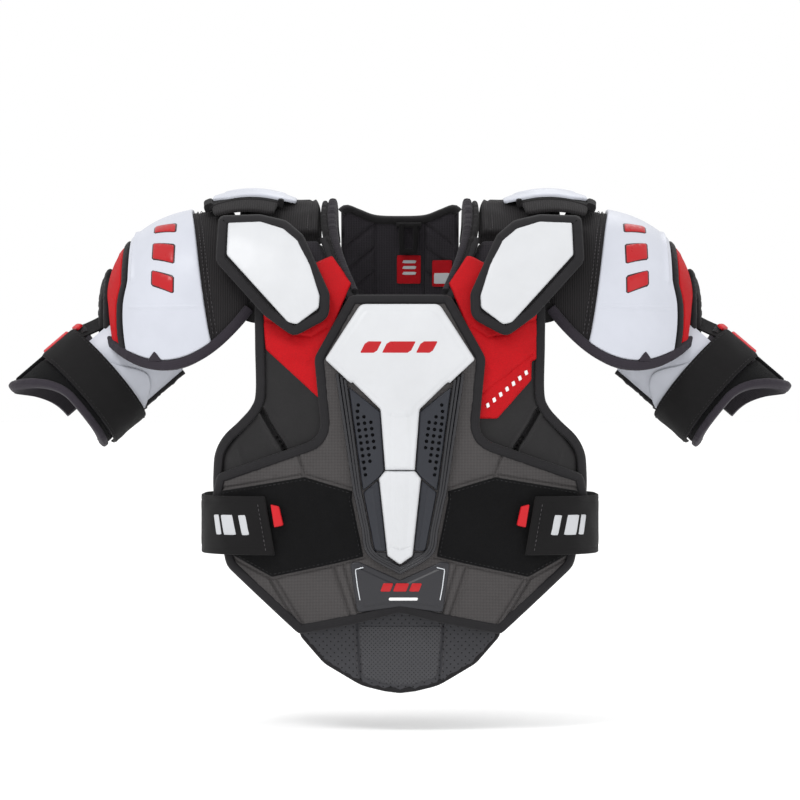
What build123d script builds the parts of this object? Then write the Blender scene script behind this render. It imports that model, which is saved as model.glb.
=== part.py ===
from build123d import *
import math
import os

# Hockey shoulder pads for an adult player, standing as they do when worn.
# Frame: +Z up, the chest faces -Y, the wearer's left arm is at +X. The origin is the middle of the
# neck opening, on the line across the shoulders where the yokes rest.
# Every pad, plate and strap is a thick patch of one of a few smooth guide surfaces: the torso, the
# collarbone caps, the shoulder domes, the arm sleeves, the neck wall and the waist strap's path.

# ---- torso ----
HALF_WIDTH = 185.0        # of the torso's section, along X
SECTION_POWER = 2.4       # superellipse power of that section
CHEST_DEPTH = 118.0       # from the origin's plane to the chest
BACK_DEPTH = 105.0        # and to the back
ARCH_Z = -140.0           # height where chest and back start to curve over the shoulders
ARCH_HEIGHT = 156.0
TAPER = 0.06              # how much shallower the chest is at the belly
TAPER_LENGTH = 290.0

# ---- layers, as distances outwards from the wearer ----
LINER = (0.0, 5.0)
PANEL = (5.3, 13.0)
SHIELD = (13.3, 20.0)
FRAME_RAIL = (20.3, 25.5)
VENT = (20.3, 23.0)
LOOP = (20.3, 22.0)
BADGE = (20.3, 23.5)
STERNUM = (20.3, 28.0)
YOKE = (0.0, 10.0)
COLLAR_ROLL = (0.0, 13.0)
BACK_PANEL = (5.3, 13.5)
BACK_PLATE = (13.8, 19.0)
SPINE = (13.8, 27.0)
BELLY = (-3.5, 4.0)
GAP = 0.3                 # clearance between neighbouring pieces

# ---- widths of sewn edges ----
ARMHOLE_TAPE = 8.0
SHIELD_TAPE = 7.5
CLAVICLE_TAPE = 8.5
BACK_TAPE = 8.0
CAP_TAPE = 9.0

# ---- outlines: x, z and corner radius, for the half at +X ----
CHEST_HALF = [
    (0.15, -67, 0), (46, -67, 2), (66.5, -25, 8), (73.3, -8, 0), (120, -8, 6), (131.5, -60, 15),
    (131, -158, 26), (168, -205, 14), (170, -245, 8), (152, -302, 14), (88, -344, 8), (0.15, -340, 0),
]
RED_HALF = [
    (40, -60, 0), (62, -40, 0), (70, 0, 0), (135, 0, 0), (135, -109, 0), (122, -113, 0),
    (76, -154, 0), (60, -154, 0), (40, -80, 0),
]
LINER_HALF = [
    (0, -70, 0), (47, -70, 3), (67, -27, 8), (76, -10, 4), (118, -10, 6), (128, -60, 12),
    (127, -160, 26), (163, -207, 14), (165, -245, 8), (148, -300, 14), (84, -332, 8), (0, -332, 0),
]
SHIELD_HALF = [
    (45, -63, 8), (77, -120, 14), (70, -192, 20), (167, -226, 7), (171.5, -246, 9),
    (158, -309, 16), (91, -369.5, 7), (38, -359, 18), (0, -349, 12),
]
STERNUM_HALF = [(35.5, -71.5, 8), (67.5, -121.5, 3), (17.5, -166.5, 5), (13.3, -221, 0.8)]
TIP_HALF = [(13.3, -221.4, 0.8), (18.8, -228.5, 2), (11.3, -298, 3), (0, -306, 3)]
RAIL_OUTER_HALF = [(59, -133, 3), (42.5, -238, 2), (41, -246, 2), (30, -297, 4), (0, -316, 6)]
RAIL_INNER_HALF = [(47.5, -141, 1), (34, -240, 1), (23, -297, 2), (0, -308, 3)]
VENT_HALF = [(46.2, -147.5, 1), (18.2, -169, 2), (14.4, -222, 1), (17.5, -226.5, 0.5), (32.8, -239, 1)]
CHANNEL_HALF = [(32.6, -241.5, 0.5), (19.6, -230.5, 0.5), (12.5, -294, 0.5), (22.2, -294, 0.5)]
LOOP_HALF = [
    (43, -240, 1), (86.5, -227, 2), (161, -242, 2), (150, -297, 3), (110, -317, 4),
    (62, -305, 2), (33, -299, 1), (43.5, -247, 1),
]
BADGE_HALF = [(0, -320, 3), (37, -302.5, 3), (51, -306, 3), (39.5, -350, 4), (0, -343.5, 8)]
BELLY_HALF = [(84, -336, 4), (92, -371, 10), (69, -397, 22), (35, -417, 40), (0, -425.5, 60)]
CLAVICLE_HALF = [
    (88, -8, 6), (104, 6, 8), (128, 12, 14), (166, 11, 4), (167.5, -32, 12), (122, -82, 8),
    (96, -101, 10), (64, -84, 14), (63.5, -62, 12),
]
BACK_HALF = [
    (0, -54, 0), (58, -54, 4), (75, -8, 3), (120, -8, 8), (130, -60, 14), (127, -150, 26),
    (160, -200, 14), (163, -250, 10), (140, -304, 18), (60, -322, 10), (0, -316, 0),
]
SCAPULA = [
    (40, -72, 6), (78, -24, 6), (112, -26, 6), (119, -70, 8), (116, -150, 10), (84, -186, 8), (40, -160, 6),
]
SPINE_SEGMENTS = [
    [(24, -66, 5), (34, -100, 4), (24, -134, 3)],
    [(22.5, -136, 3), (30, -160, 4), (21, -186, 3)],
    [(20, -188, 3), (27, -210, 4), (18.5, -234, 3)],
    [(17.5, -236, 3), (23, -256, 4), (13, -282, 5)],
]
LUMBAR_HALF = [(30, -246, 4), (122, -222, 8), (138, -250, 8), (122, -292, 12), (56, -306, 8), (26, -296, 3)]

# ---- over the shoulders ----
YOKE_X = (76.0, 150.0)
YOKE_LOWEST = -7.6        # the yokes meet the front and back panels' top edges here
COLLAR_X = (37.0, 59.0)   # the neck edge's x at the neckline and on top of the shoulder
COLLAR_WIDTH = (9.0, 13.5)
COLLAR_LOWEST_FRONT, COLLAR_LOWEST_BACK = -64.0, -8.0

# ---- neck wall ----
WALL = (0.0, 6.0)
WALL_LOWEST = -60.0
LOOP_X = 8.5              # middle of the hanger loops and of the label below them
LOOP_REACH = 4.5          # how far the webbing stands off the wall

# ---- collarbone caps ----
CLAVICLE_DEPTH = 124.0
CLAVICLE_SWEEP = 12.0     # how far the cap falls back over 100 mm towards the shoulder
CLAVICLE_X = 65.0
CLAVICLE_Z = -100.0       # height where the cap starts to lean back
CLAVICLE_PAD, CLAVICLE_CAP = (0.0, 7.0), (7.3, 11.0)
CLAVICLE_HEIGHT = 140.0

# ---- shoulder domes ----
DOME = (170.0, 0.0, -70.0)
DOME_X, DOME_Y, DOME_Z = 108.0, 95.0, 90.0
RIM_LOWEST, RIM_X, RIM_CURVE = -131.0, 216.0, 0.0085
RIM_BACK_LIFT = 22.0      # how much higher the cap ends at the back
CAP_GAP = 0.9             # between the cap's foam and its plates
CAP_FOAM, WING_FOAM = -9.0, -7.0      # inner faces of the foam and of its thinner wings
CAP_WINGS, WING_TOP = (137.0, 153.8), 42.0
CAP_SHELL, CAP_RED, CAP_STRIPE = (0.0, 3.6), (0.0, 2.4), (0.0, 2.4)
CAP_PADDING = (0.0, 4.2)  # of the rolled rims and the outer end pad
FOAM_BANDS = [(154, 192.8), (193.1, 232.8), (233.1, 275)]    # the cap's foam, from the neck side outwards

# ---- top caps ----
TOP_PEAK, TOP_X, TOP_BOW_X, TOP_BOW_Y = 37.0, 138.0, 0.0051, 9.0
TOP_HALF_DEPTH = 45.0
TOP_PAD, TOP_SHELL = (-4.2, -0.3), (0.0, 3.0)

# ---- arm sleeves ----
SLEEVE_MIDDLE = (288.0, -8.0, -144.0)
SLEEVE_AXIS = (0.735, -0.2, -0.648)
SLEEVE_UP = (0.663, 0.0, 0.748)
SLEEVE_R_UP, SLEEVE_R_FRONT = 54.0, 51.0
SLEEVE_FOAM, SLEEVE_PLATE, SLEEVE_STRAP = (-12.0, -6.0), (-5.2, -2.7), (-2.0, 0.5)
SLEEVE_START = [(-95, -36), (-50, -30), (10, -30), (50, -25), (80, -25), (125, -46), (178, -24)]

# ---- waist straps ----
# the path round the left side seen from above, from the front end to the back end
STRAP_PATH = Spline(
    (112, -128.6), (140, -121.8), (162, -107), (177, -80), (181.5, -40), (182, 0), (181, 40), (171.5, 70),
    (157.5, 86.5), (143, 94),
)
STRAP_TOP, STRAP_BOTTOM = -245.0, -298.0
STRAP, STRAP_HOOK = (0.0, 2.6), (-1.4, -0.2)

os.makedirs("parts", exist_ok=True)


def span(start, end, count):
    """Evenly spaced values from start to end."""
    return [start + (end - start) * i / (count - 1) for i in range(count)]


# ---------------------------------------------------------------- guide surfaces
def section(x):
    """The torso's depth at x, as a share of its depth at the middle."""
    return (1 - abs(x / HALF_WIDTH) ** SECTION_POWER) ** (1 / SECTION_POWER)


def torso(x, v):
    """v runs up the chest, over the shoulder and down the back, in mm; 0 is where the arch starts."""
    if v < 0:
        return (x, -CHEST_DEPTH * (1 - TAPER * (v / TAPER_LENGTH) ** 2) * section(x), ARCH_Z + v)
    arch = math.pi * ARCH_HEIGHT
    if v > arch:
        return (x, BACK_DEPTH * section(x), ARCH_Z - (v - arch))
    turn = v / ARCH_HEIGHT
    depth = CHEST_DEPTH if turn < math.pi / 2 else BACK_DEPTH
    return (x, -depth * section(x) * math.cos(turn), ARCH_Z + ARCH_HEIGHT * math.sin(turn))


def clavicle(x, turn):
    """turn is 0 where the cap hangs straight and grows as it leans back, in degrees; below 0 it is mm."""
    depth = CLAVICLE_DEPTH - CLAVICLE_SWEEP * ((x - CLAVICLE_X) / 100) ** 2
    if turn < 0:
        return (x, -depth, CLAVICLE_Z + turn)
    angle = math.radians(turn)
    return (x, -depth * math.cos(angle), CLAVICLE_Z + CLAVICLE_HEIGHT * math.sin(angle))


def rim_height(x):
    """Height of a shoulder cap's lower edge at x."""
    return RIM_LOWEST + RIM_CURVE * (x - RIM_X) ** 2


def dome(x_share, wrap):
    """x_share is the angle out along X, in degrees; wrap runs up the front, over and down the back, in mm."""
    angle = math.radians(x_share)
    x, narrow = DOME[0] + DOME_X * math.sin(angle), math.cos(angle)
    arch = math.pi * DOME_Z
    if wrap < 0:
        return (x, -DOME_Y * narrow, DOME[2] + wrap)
    if wrap > arch:
        return (x, DOME_Y * narrow, DOME[2] - (wrap - arch))
    turn = wrap / DOME_Z
    return (x, -DOME_Y * narrow * math.cos(turn), DOME[2] + DOME_Z * narrow * math.sin(turn))


def dome_angle(x):
    return math.degrees(math.asin((x - DOME[0]) / DOME_X))


def dome_end(y, z):
    """The dome's outer end, as a function of y and z."""
    rise = max(0.0, z - DOME[2]) / DOME_Z
    return (DOME[0] + DOME_X * math.sqrt(1 - (y / DOME_Y) ** 2 - rise**2), y, z)


def top_cap(x, y):
    return (x, y, TOP_PEAK - TOP_BOW_X * (x - TOP_X) ** 2 - TOP_BOW_Y * (y / TOP_HALF_DEPTH) ** 2)


def neck_wall(x, z):
    """The standing wall behind the neck."""
    return (x, 80.0 - 18.0 * (z + 51.0) / 67.0 - 14.0 * (x / 60.0) ** 2, z)


def sleeve(around, along):
    """around in degrees: 0 is the outer side, 90 the front; along in mm, towards the hand."""
    axis, up = Vector(*SLEEVE_AXIS).normalized(), Vector(*SLEEVE_UP)
    up = (up - axis * up.dot(axis)).normalized()
    front = axis.cross(up)
    if front.Y > 0:
        front = -front
    turn = math.radians(around)
    where = Vector(*SLEEVE_MIDDLE) + axis * along
    where += up * (SLEEVE_R_UP * math.cos(turn)) + front * (SLEEVE_R_FRONT * math.sin(turn))
    return tuple(where)


def strap_ring(along, z):
    """The waist strap's path round the left side: along is in mm from its front end."""
    share = along / STRAP_PATH.length
    where = STRAP_PATH.position_at(share)
    if share < 0:
        where = STRAP_PATH.position_at(0) + STRAP_PATH.tangent_at(0) * along
    return (where.X, where.Y, z)


# ---------------------------------------------------------------- thick patches
def lifted(surface, u, v, offset, outward):
    """The point of a guide surface at u, v, moved offset mm along its normal, outward."""
    step = 0.4
    here = Vector(*surface(u, v))
    along_u = Vector(*surface(u + step, v)) - Vector(*surface(u - step, v))
    along_v = Vector(*surface(u, v + step)) - Vector(*surface(u, v - step))
    return here + along_u.cross(along_v).normalized() * (offset * outward)


def patch(surface, us, vs, low, high, outward=1):
    """A closed solid between two offsets of a guide surface. vs may be a function of u."""
    def row(u, offset):
        values = vs(u) if callable(vs) else vs
        return [lifted(surface, u, v, offset, outward) for v in values]

    inner = Face.make_surface_from_array_of_points([row(u, low) for u in us])
    outer = Face.make_surface_from_array_of_points([row(u, high) for u in us])
    sides = []
    for edge in inner.edges():
        middle = edge.position_at(0.5)
        partner = min(outer.edges(), key=lambda e: (e.position_at(0.5) - middle).length)
        sides.append(Face.make_surface_from_curves(edge, partner))
    solid = Solid(Shell([inner, outer] + sides))
    return solid if solid.volume > 0 else Solid(Shell([inner, outer] + sides).fix())


def outline(points):
    corners = [(x, z) for x, z, _ in points]
    radii = [radius for _, _, radius in points]
    return make_face(FilletPolyline(*corners, radius=radii, close=True))


def both_halves(half):
    """A whole outline from its half at +X: the points on the middle line are used once."""
    mirrored = [(-x, z, r) for x, z, r in reversed(half) if x > 0.5]
    return outline(list(half) + mirrored)


def in_front(face):
    """The space in front of the wearer behind which a flat outline, seen from the front, falls."""
    return extrude(Plane.XZ * face, amount=260)


def behind(face):
    return extrude(Plane.XZ * face, amount=-260)


def inset(face, width):
    return offset(face, amount=-width, kind=Kind.INTERSECTION)


def chest_layer(layer):
    low, high = layer
    top = 0.93 * math.pi / 2 * ARCH_HEIGHT
    return patch(torso, span(-176, 176, 17), span(-292, top, 19), low, high, chest_side)


def back_layer(layer):
    low, high = layer
    arch = math.pi * ARCH_HEIGHT
    start = math.pi * ARCH_HEIGHT * 0.535
    return patch(torso, span(-168, 168, 17), span(start, arch + 190, 19), low, high, chest_side)


def normal_sign(surface, u, v, away_from):
    """1 if the patch normal points away from a point, else -1."""
    here = Vector(*surface(u, v))
    moved = lifted(surface, u, v, 1.0, 1)
    centre = Vector(*away_from)
    return 1 if (moved - centre).length > (here - centre).length else -1


chest_side = normal_sign(torso, 0, -100, (0, 0, -240))
clavicle_side = normal_sign(clavicle, 110, 20, (110, 0, -100))
dome_side = normal_sign(dome, 20, 60, DOME)
end_side = normal_sign(dome_end, 0, -80, DOME)
top_side = normal_sign(top_cap, 138, 0, (138, 0, -50))
wall_side = normal_sign(neck_wall, 0, -20, (0, 0, -20))
sleeve_side = normal_sign(sleeve, 60, 0, SLEEVE_MIDDLE)
strap_side = normal_sign(strap_ring, 120, -266, (0, 0, -266))

nodes = {}


def add(name, *solids):
    """Keeps the solids of one sub-part under its node name."""
    flat = [s for shape in solids for s in shape.solids()]
    nodes[name] = flat[0] if len(flat) == 1 else Compound(children=flat)


def add_pair(name, *solids):
    """A left sub-part, and its mirror image for the right."""
    flat = [s for shape in solids for s in shape.solids()]
    add("left_" + name, *flat)
    add("right_" + name, *[mirror(s, about=Plane.YZ) for s in flat])


def mirrored_too(*shapes):
    flat = [s for shape in shapes for s in shape.solids()]
    return flat + [mirror(s, about=Plane.YZ) for s in flat]


# ---------------------------------------------------------------- vest, front
def build_chest():
    add("chest_liner", in_front(both_halves(LINER_HALF)) & chest_layer(LINER))
    whole = outline(CHEST_HALF)
    core = inset(whole, ARMHOLE_TAPE)
    red = outline(RED_HALF)
    layer = chest_layer(PANEL)
    grown_red = offset(red, amount=GAP, kind=Kind.INTERSECTION)
    add_pair("chest_panel", in_front(core - grown_red) & layer)
    add("red_panels", *mirrored_too(in_front(core & red) & layer))
    tape = whole - offset(core, amount=GAP, kind=Kind.INTERSECTION)
    add("armhole_bindings", *mirrored_too(in_front(tape) & layer))


def build_shield():
    whole = both_halves(SHIELD_HALF)
    core = inset(whole, SHIELD_TAPE)
    layer = chest_layer(SHIELD)
    add("front_shield", in_front(core) & layer)
    tape = whole - inset(whole, SHIELD_TAPE - GAP)
    add("shield_binding", in_front(tape) & layer)


def build_sternum():
    add("sternum_plate", in_front(both_halves(STERNUM_HALF)) & chest_layer(STERNUM))
    add("sternum_tip", in_front(both_halves(TIP_HALF)) & chest_layer(STERNUM))
    plate = offset(both_halves(STERNUM_HALF), amount=GAP, kind=Kind.INTERSECTION)
    rails = both_halves(RAIL_OUTER_HALF) - both_halves(RAIL_INNER_HALF) - plate
    add("sternum_frame", in_front(rails) & chest_layer(FRAME_RAIL))
    vent = in_front(outline(VENT_HALF) - plate) & chest_layer(VENT)
    channel = in_front(outline(CHANNEL_HALF)) & chest_layer(LOOP)
    add("vent_plates", *mirrored_too(vent, channel))
    add("loop_fields", *mirrored_too(in_front(outline(LOOP_HALF)) & chest_layer(LOOP)))
    add("name_badge", in_front(both_halves(BADGE_HALF)) & chest_layer(BADGE))


# ---------------------------------------------------------------- over the shoulders and round the neck
def collar_share(v):
    """0 at the front neckline, 1 from near the top of the shoulder on."""
    return min(1.0, max(0.0, (torso(60, v)[2] - COLLAR_LOWEST_FRONT) / 72))


def roll_inner(v):
    """The neck edge's x on its way from the front neckline, over the shoulder, to the back."""
    start, end = COLLAR_X
    return start + (end - start) * math.sin(collar_share(v) * math.pi / 2)


def collar_surface(across, v):
    """across is 0 at the neck and 10 at the outer side of the collar roll."""
    narrow, wide = COLLAR_WIDTH
    width = narrow + (wide - narrow) * collar_share(v)
    return torso(roll_inner(v) + width * across / 10, v)


def build_yokes():
    above = Pos(0, 0, YOKE_LOWEST) * Box(400, 400, 200, align=(Align.CENTER, Align.CENTER, Align.MIN))
    arch = math.pi * ARCH_HEIGHT
    low, high = YOKE
    shell = patch(torso, span(*YOKE_X, 7), span(arch * 0.22, arch * 0.78, 15), low, high, chest_side)
    add("yokes", *mirrored_too(shell & above))
    low, high = COLLAR_ROLL
    start = ARCH_HEIGHT * math.asin((COLLAR_LOWEST_FRONT - ARCH_Z) / ARCH_HEIGHT)
    end = arch - ARCH_HEIGHT * math.asin((COLLAR_LOWEST_BACK - ARCH_Z) / ARCH_HEIGHT)
    side = normal_sign(collar_surface, 5, arch / 2, (60, 0, -140))
    roll = patch(collar_surface, span(0, 10, 4), span(start, end, 17), low, high, side)
    add("collar_rolls", *mirrored_too(roll))


def wall_top(x):
    """Height of the neck wall's top edge: two raised lobes and a low middle."""
    lobe = min(1.0, max(0.0, (abs(x) - 22) / 34))
    return 15 + 11 * lobe * lobe * (3 - 2 * lobe)


def build_neck():
    wall = patch(neck_wall, span(-54, 54, 17), lambda x: span(WALL_LOWEST, wall_top(x), 7), *WALL, wall_side)
    add("back_collar", wall)
    label = patch(neck_wall, span(LOOP_X - 11.5, LOOP_X + 11.5, 4), span(-46, -19, 4), -1.4, -0.3, wall_side)
    side_label = patch(neck_wall, span(31, 50, 4), span(-49, -24, 4), -1.4, -0.3, wall_side)
    add("neck_labels", label, side_label)
    loop = outline([(-13, 12, 1), (13, 12, 1), (9, -18, 6), (-9, -18, 6)])
    loop -= outline([(-5, 7, 1), (5, 7, 1), (3, -8, 2), (-3, -8, 2)])
    low = -LOOP_REACH - 2
    band = patch(neck_wall, span(LOOP_X - 14, LOOP_X + 14, 4), span(-19, 13, 5), low, -LOOP_REACH, wall_side)
    webbing = behind(Pos(LOOP_X, 0) * loop) & band
    root = patch(neck_wall, span(LOOP_X - 12, LOOP_X + 12, 4), span(8.5, 12, 3), -LOOP_REACH, -0.1, wall_side)
    add("hanger_loop", webbing + root)


# ---------------------------------------------------------------- vest, back
def build_back():
    whole = both_halves(BACK_HALF)
    add("back_liner", behind(inset(whole, 3)) & back_layer(LINER))
    core = inset(whole, BACK_TAPE)
    layer = back_layer(BACK_PANEL)
    add("back_panel", behind(core) & layer)
    add("back_binding", behind(whole - inset(whole, BACK_TAPE - GAP)) & layer)
    plates = back_layer(BACK_PLATE)
    add("scapula_plates", *mirrored_too(behind(outline(SCAPULA)) & plates))
    add("lumbar_pads", *mirrored_too(behind(outline(LUMBAR_HALF)) & plates))
    spine = back_layer(SPINE)
    add("spine_guard", *[behind(both_halves(half)) & spine for half in SPINE_SEGMENTS])


# ---------------------------------------------------------------- moving pieces
def build_belly_pad():
    add("belly_pad", in_front(both_halves(BELLY_HALF)) & chest_layer(BELLY))


def build_clavicle_caps():
    whole = outline(CLAVICLE_HALF)
    core = inset(whole, CLAVICLE_TAPE)
    us, vs = span(58, 172, 9), span(-6, 66, 11)
    pad = patch(clavicle, us, vs, *CLAVICLE_PAD, clavicle_side)
    cap = patch(clavicle, us, vs, *CLAVICLE_CAP, clavicle_side)
    add_pair("clavicle_pad", in_front(whole) & pad)
    add_pair("clavicle_cap", in_front(core) & cap)


def build_top_caps():
    pad = patch(top_cap, span(108, 183, 7), span(-44, 44, 7), *TOP_PAD, top_side)
    shell = patch(top_cap, span(97, 174, 7), span(-38, 38, 7), *TOP_SHELL, top_side)
    add_pair("top_cap_pad", pad)
    add_pair("top_cap", shell)


def dome_x(angle):
    return DOME[0] + DOME_X * math.sin(math.radians(angle))


def front_edge(x):
    """Wrap value of a shoulder cap's lower border in front."""
    return rim_height(x) - DOME[2]


def back_edge(x):
    return math.pi * DOME_Z - front_edge(x) - RIM_BACK_LIFT


def dome_piece(x_from, x_to, low, high, wrap_from, wrap_to, columns=5, rows=5):
    """A patch of the dome between two functions of x."""
    def wraps(angle):
        x = dome_x(angle)
        return span(wrap_from(x), wrap_to(x), rows)

    return patch(dome, span(dome_angle(x_from), dome_angle(x_to), columns), wraps, low, high, dome_side)


def dome_band(x_from, x_to, low, high, lift=0.0, columns=5):
    """A band over the whole dome, its ends lift mm inside the lower border."""
    return dome_piece(
        x_from, x_to, low, high, lambda x: front_edge(x) + lift, lambda x: back_edge(x) - lift, columns, 23)


def build_shoulder_caps():
    bands = [dome_band(start, end, CAP_FOAM, -CAP_GAP, 0, 7) for start, end in FOAM_BANDS]
    front_wing = dome_piece(*CAP_WINGS, WING_FOAM, -CAP_GAP, front_edge, lambda x: WING_TOP)
    back_wing = dome_piece(*CAP_WINGS, WING_FOAM, -CAP_GAP, lambda x: math.pi * DOME_Z - WING_TOP, back_edge)
    add_pair("cap_foam", *bands, front_wing, back_wing)
    edge = CAP_TAPE + GAP
    add_pair("cap_shell", dome_band(187, 254, *CAP_SHELL, edge, 7))
    add_pair("cap_red_panel", dome_band(262, 270.5, *CAP_RED, edge, 3))

    def pad_heights(y):
        inside = dome_x_share(271.2) ** 2 - (y / DOME_Y) ** 2
        return span(-98, DOME[2] + DOME_Z * math.sqrt(max(0.004, inside)), 6)

    add_pair("cap_end_pad", patch(dome_end, span(-28.5, 28.5, 7), pad_heights, *CAP_PADDING, end_side))
    stripe = dome_band(254.6, 261.4, *CAP_STRIPE, edge, 3)
    front = dome_piece(156, 261.4, *CAP_PADDING, front_edge, lambda x: front_edge(x) + CAP_TAPE, 9, 4)
    back = dome_piece(156, 261.4, *CAP_PADDING, lambda x: back_edge(x) - CAP_TAPE, back_edge, 9, 4)
    add_pair("cap_bindings", stripe, front, back)


def dome_x_share(x):
    """The dome's half height at x, as a share of its largest."""
    return math.sqrt(1 - ((x - DOME[0]) / DOME_X) ** 2)


def sleeve_start(around):
    """Where the arm guard begins along the arm: it is cut away under the shoulder cap's outer end."""
    for (a, start), (b, end) in zip(SLEEVE_START, SLEEVE_START[1:]):
        if around <= b:
            share = max(0.0, (around - a) / (b - a))
            return start + (end - start) * share * share * (3 - 2 * share)
    return SLEEVE_START[-1][1]


def sleeve_end(around):
    lobe = max(0.0, math.cos(math.radians(around)))
    return 31 + 29 * lobe**2


def build_arm_guards():
    def foam_rows(around):
        return span(sleeve_start(around), sleeve_end(around), 7)

    def plate_rows(around):
        return span(sleeve_start(around) + 6, 18, 6)

    def side_rows(around):
        return span(sleeve_start(around) + 7, sleeve_end(around) - 9, 6)

    add_pair("arm_guard_foam", patch(sleeve, span(-95, 178, 19), foam_rows, *SLEEVE_FOAM, sleeve_side))
    add_pair("arm_guard_plate", patch(sleeve, span(38, 165, 10), plate_rows, *SLEEVE_PLATE, sleeve_side))
    add_pair("arm_side_plate", patch(sleeve, span(-74, 12, 8), side_rows, *SLEEVE_PLATE, sleeve_side))
    add_pair("arm_strap", patch(sleeve, span(20, 196, 13), span(-19, 20, 4), *SLEEVE_STRAP, sleeve_side))
    add_pair("arm_pull_tab", patch(sleeve, span(9, 19.4, 3), span(-14, 15, 3), -1.5, 0, sleeve_side))


def build_waist_straps():
    heights = span(STRAP_BOTTOM, STRAP_TOP, 4)
    length = STRAP_PATH.length
    add_pair("waist_strap", patch(strap_ring, span(0.5, length - 0.5, 19), heights, *STRAP, strap_side))
    tab = patch(strap_ring, span(-11, 0.2, 3), span(-272, -252, 3), 0.3, 2.3, strap_side)
    add_pair("waist_pull_tab", tab)
    hook = patch(strap_ring, span(1, 46, 5), span(-295, -248, 3), *STRAP_HOOK, strap_side)
    add_pair("waist_hook_patch", hook)


for build in (
    build_chest, build_shield, build_sternum, build_yokes, build_neck, build_back, build_belly_pad,
    build_clavicle_caps, build_top_caps, build_shoulder_caps, build_arm_guards, build_waist_straps,
):
    build()

for name, shape in nodes.items():
    export_step(shape, f"parts/{name}.step")
    print(name, len(shape.solids()), round(shape.volume), shape.is_valid)
print(len(nodes), "nodes")
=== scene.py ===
import math

import bmesh
import bpy
import numpy as np
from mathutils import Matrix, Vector, geometry, kdtree


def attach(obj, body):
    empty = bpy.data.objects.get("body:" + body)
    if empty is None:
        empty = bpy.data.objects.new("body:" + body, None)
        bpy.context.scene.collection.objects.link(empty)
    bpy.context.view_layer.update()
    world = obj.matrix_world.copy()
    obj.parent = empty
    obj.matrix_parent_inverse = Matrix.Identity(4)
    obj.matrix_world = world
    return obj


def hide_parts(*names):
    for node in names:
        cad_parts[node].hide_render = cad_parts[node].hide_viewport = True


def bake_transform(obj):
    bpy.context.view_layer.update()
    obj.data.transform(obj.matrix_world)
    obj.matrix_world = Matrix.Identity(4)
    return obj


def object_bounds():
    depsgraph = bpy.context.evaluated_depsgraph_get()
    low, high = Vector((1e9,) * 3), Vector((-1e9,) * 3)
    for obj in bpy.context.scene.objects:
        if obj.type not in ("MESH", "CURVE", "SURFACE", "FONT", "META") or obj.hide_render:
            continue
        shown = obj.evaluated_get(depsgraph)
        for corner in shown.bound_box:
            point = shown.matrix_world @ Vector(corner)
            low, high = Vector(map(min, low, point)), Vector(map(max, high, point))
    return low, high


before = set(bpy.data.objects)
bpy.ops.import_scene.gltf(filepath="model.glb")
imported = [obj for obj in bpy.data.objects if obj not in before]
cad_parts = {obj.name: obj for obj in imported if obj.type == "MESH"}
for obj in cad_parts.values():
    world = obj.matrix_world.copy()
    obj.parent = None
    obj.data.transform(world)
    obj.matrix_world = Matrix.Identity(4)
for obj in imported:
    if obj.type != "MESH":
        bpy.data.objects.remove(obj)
cad_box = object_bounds()

MM = 0.001
FINE = 1.0      # every mesh is this much coarser while trying things

SIDES = ((1, "left"), (-1, "right"))       # the sign of X on each side

# ================================================================ guide surfaces, in millimetres
HALF_WIDTH, POWER = 185.0, 2.4
CHEST_DEPTH, BACK_DEPTH = 118.0, 105.0
ARCH_Z, ARCH = -140.0, 156.0
HALF_TURN = math.pi * ARCH


def section(x):
    return (1 - np.minimum(np.abs(x) / HALF_WIDTH, 0.985) ** POWER) ** (1 / POWER)


def torso(x, v):
    """v runs up the chest from the start of the arch, over the shoulder and down the back."""
    turn = np.clip(v, 0, HALF_TURN) / ARCH
    depth = np.where(turn < math.pi / 2, CHEST_DEPTH * (1 - 0.06 * (np.minimum(v, 0) / 290) ** 2), BACK_DEPTH)
    y = -depth * section(x) * np.cos(turn)
    z = ARCH_Z + ARCH * np.sin(turn) + np.minimum(v, 0) - np.maximum(v - HALF_TURN, 0)
    return np.stack([x, y, z], -1)


def clavicle_guide(x, z):
    depth = 124.0 - 12.0 * ((x - 65.0) / 100) ** 2
    lean = np.arcsin(np.clip((z + 100.0) / 140.0, 0, 0.995))
    return np.stack([x, -depth * np.cos(lean), z], -1)


DOME = np.array((170.0, 0.0, -70.0))
DOME_X, DOME_Y, DOME_Z = 108.0, 95.0, 90.0
DOME_TURN = math.pi * DOME_Z


def dome_guide(s, w):
    """s is the arc out along X from the dome's middle; w is the wrap up the front, over and down the back."""
    angle = s / DOME_X
    narrow = np.cos(angle)
    turn = np.clip(w, 0, DOME_TURN) / DOME_Z
    y = -DOME_Y * narrow * np.cos(turn)
    z = DOME[2] + DOME_Z * narrow * np.sin(turn) + np.minimum(w, 0) - np.maximum(w - DOME_TURN, 0)
    return np.stack([DOME[0] + DOME_X * np.sin(angle), y, z], -1)


def dome_s(x):
    return DOME_X * math.asin((x - DOME[0]) / DOME_X)


def dome_end_guide(y, z):
    rise = np.maximum(0.0, z - DOME[2]) / DOME_Z
    return np.stack([DOME[0] + DOME_X * np.sqrt(1 - (y / DOME_Y) ** 2 - rise**2), y, z], -1)


def top_guide(x, y):
    return np.stack([x, y, 37.0 - 0.0051 * (x - 138.0) ** 2 - 9.0 * (y / 45.0) ** 2], -1)


def wall_guide(x, z):
    return np.stack([x, 80.0 - 18.0 * (z + 51.0) / 67.0 - 14.0 * (x / 60.0) ** 2, z], -1)


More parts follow.
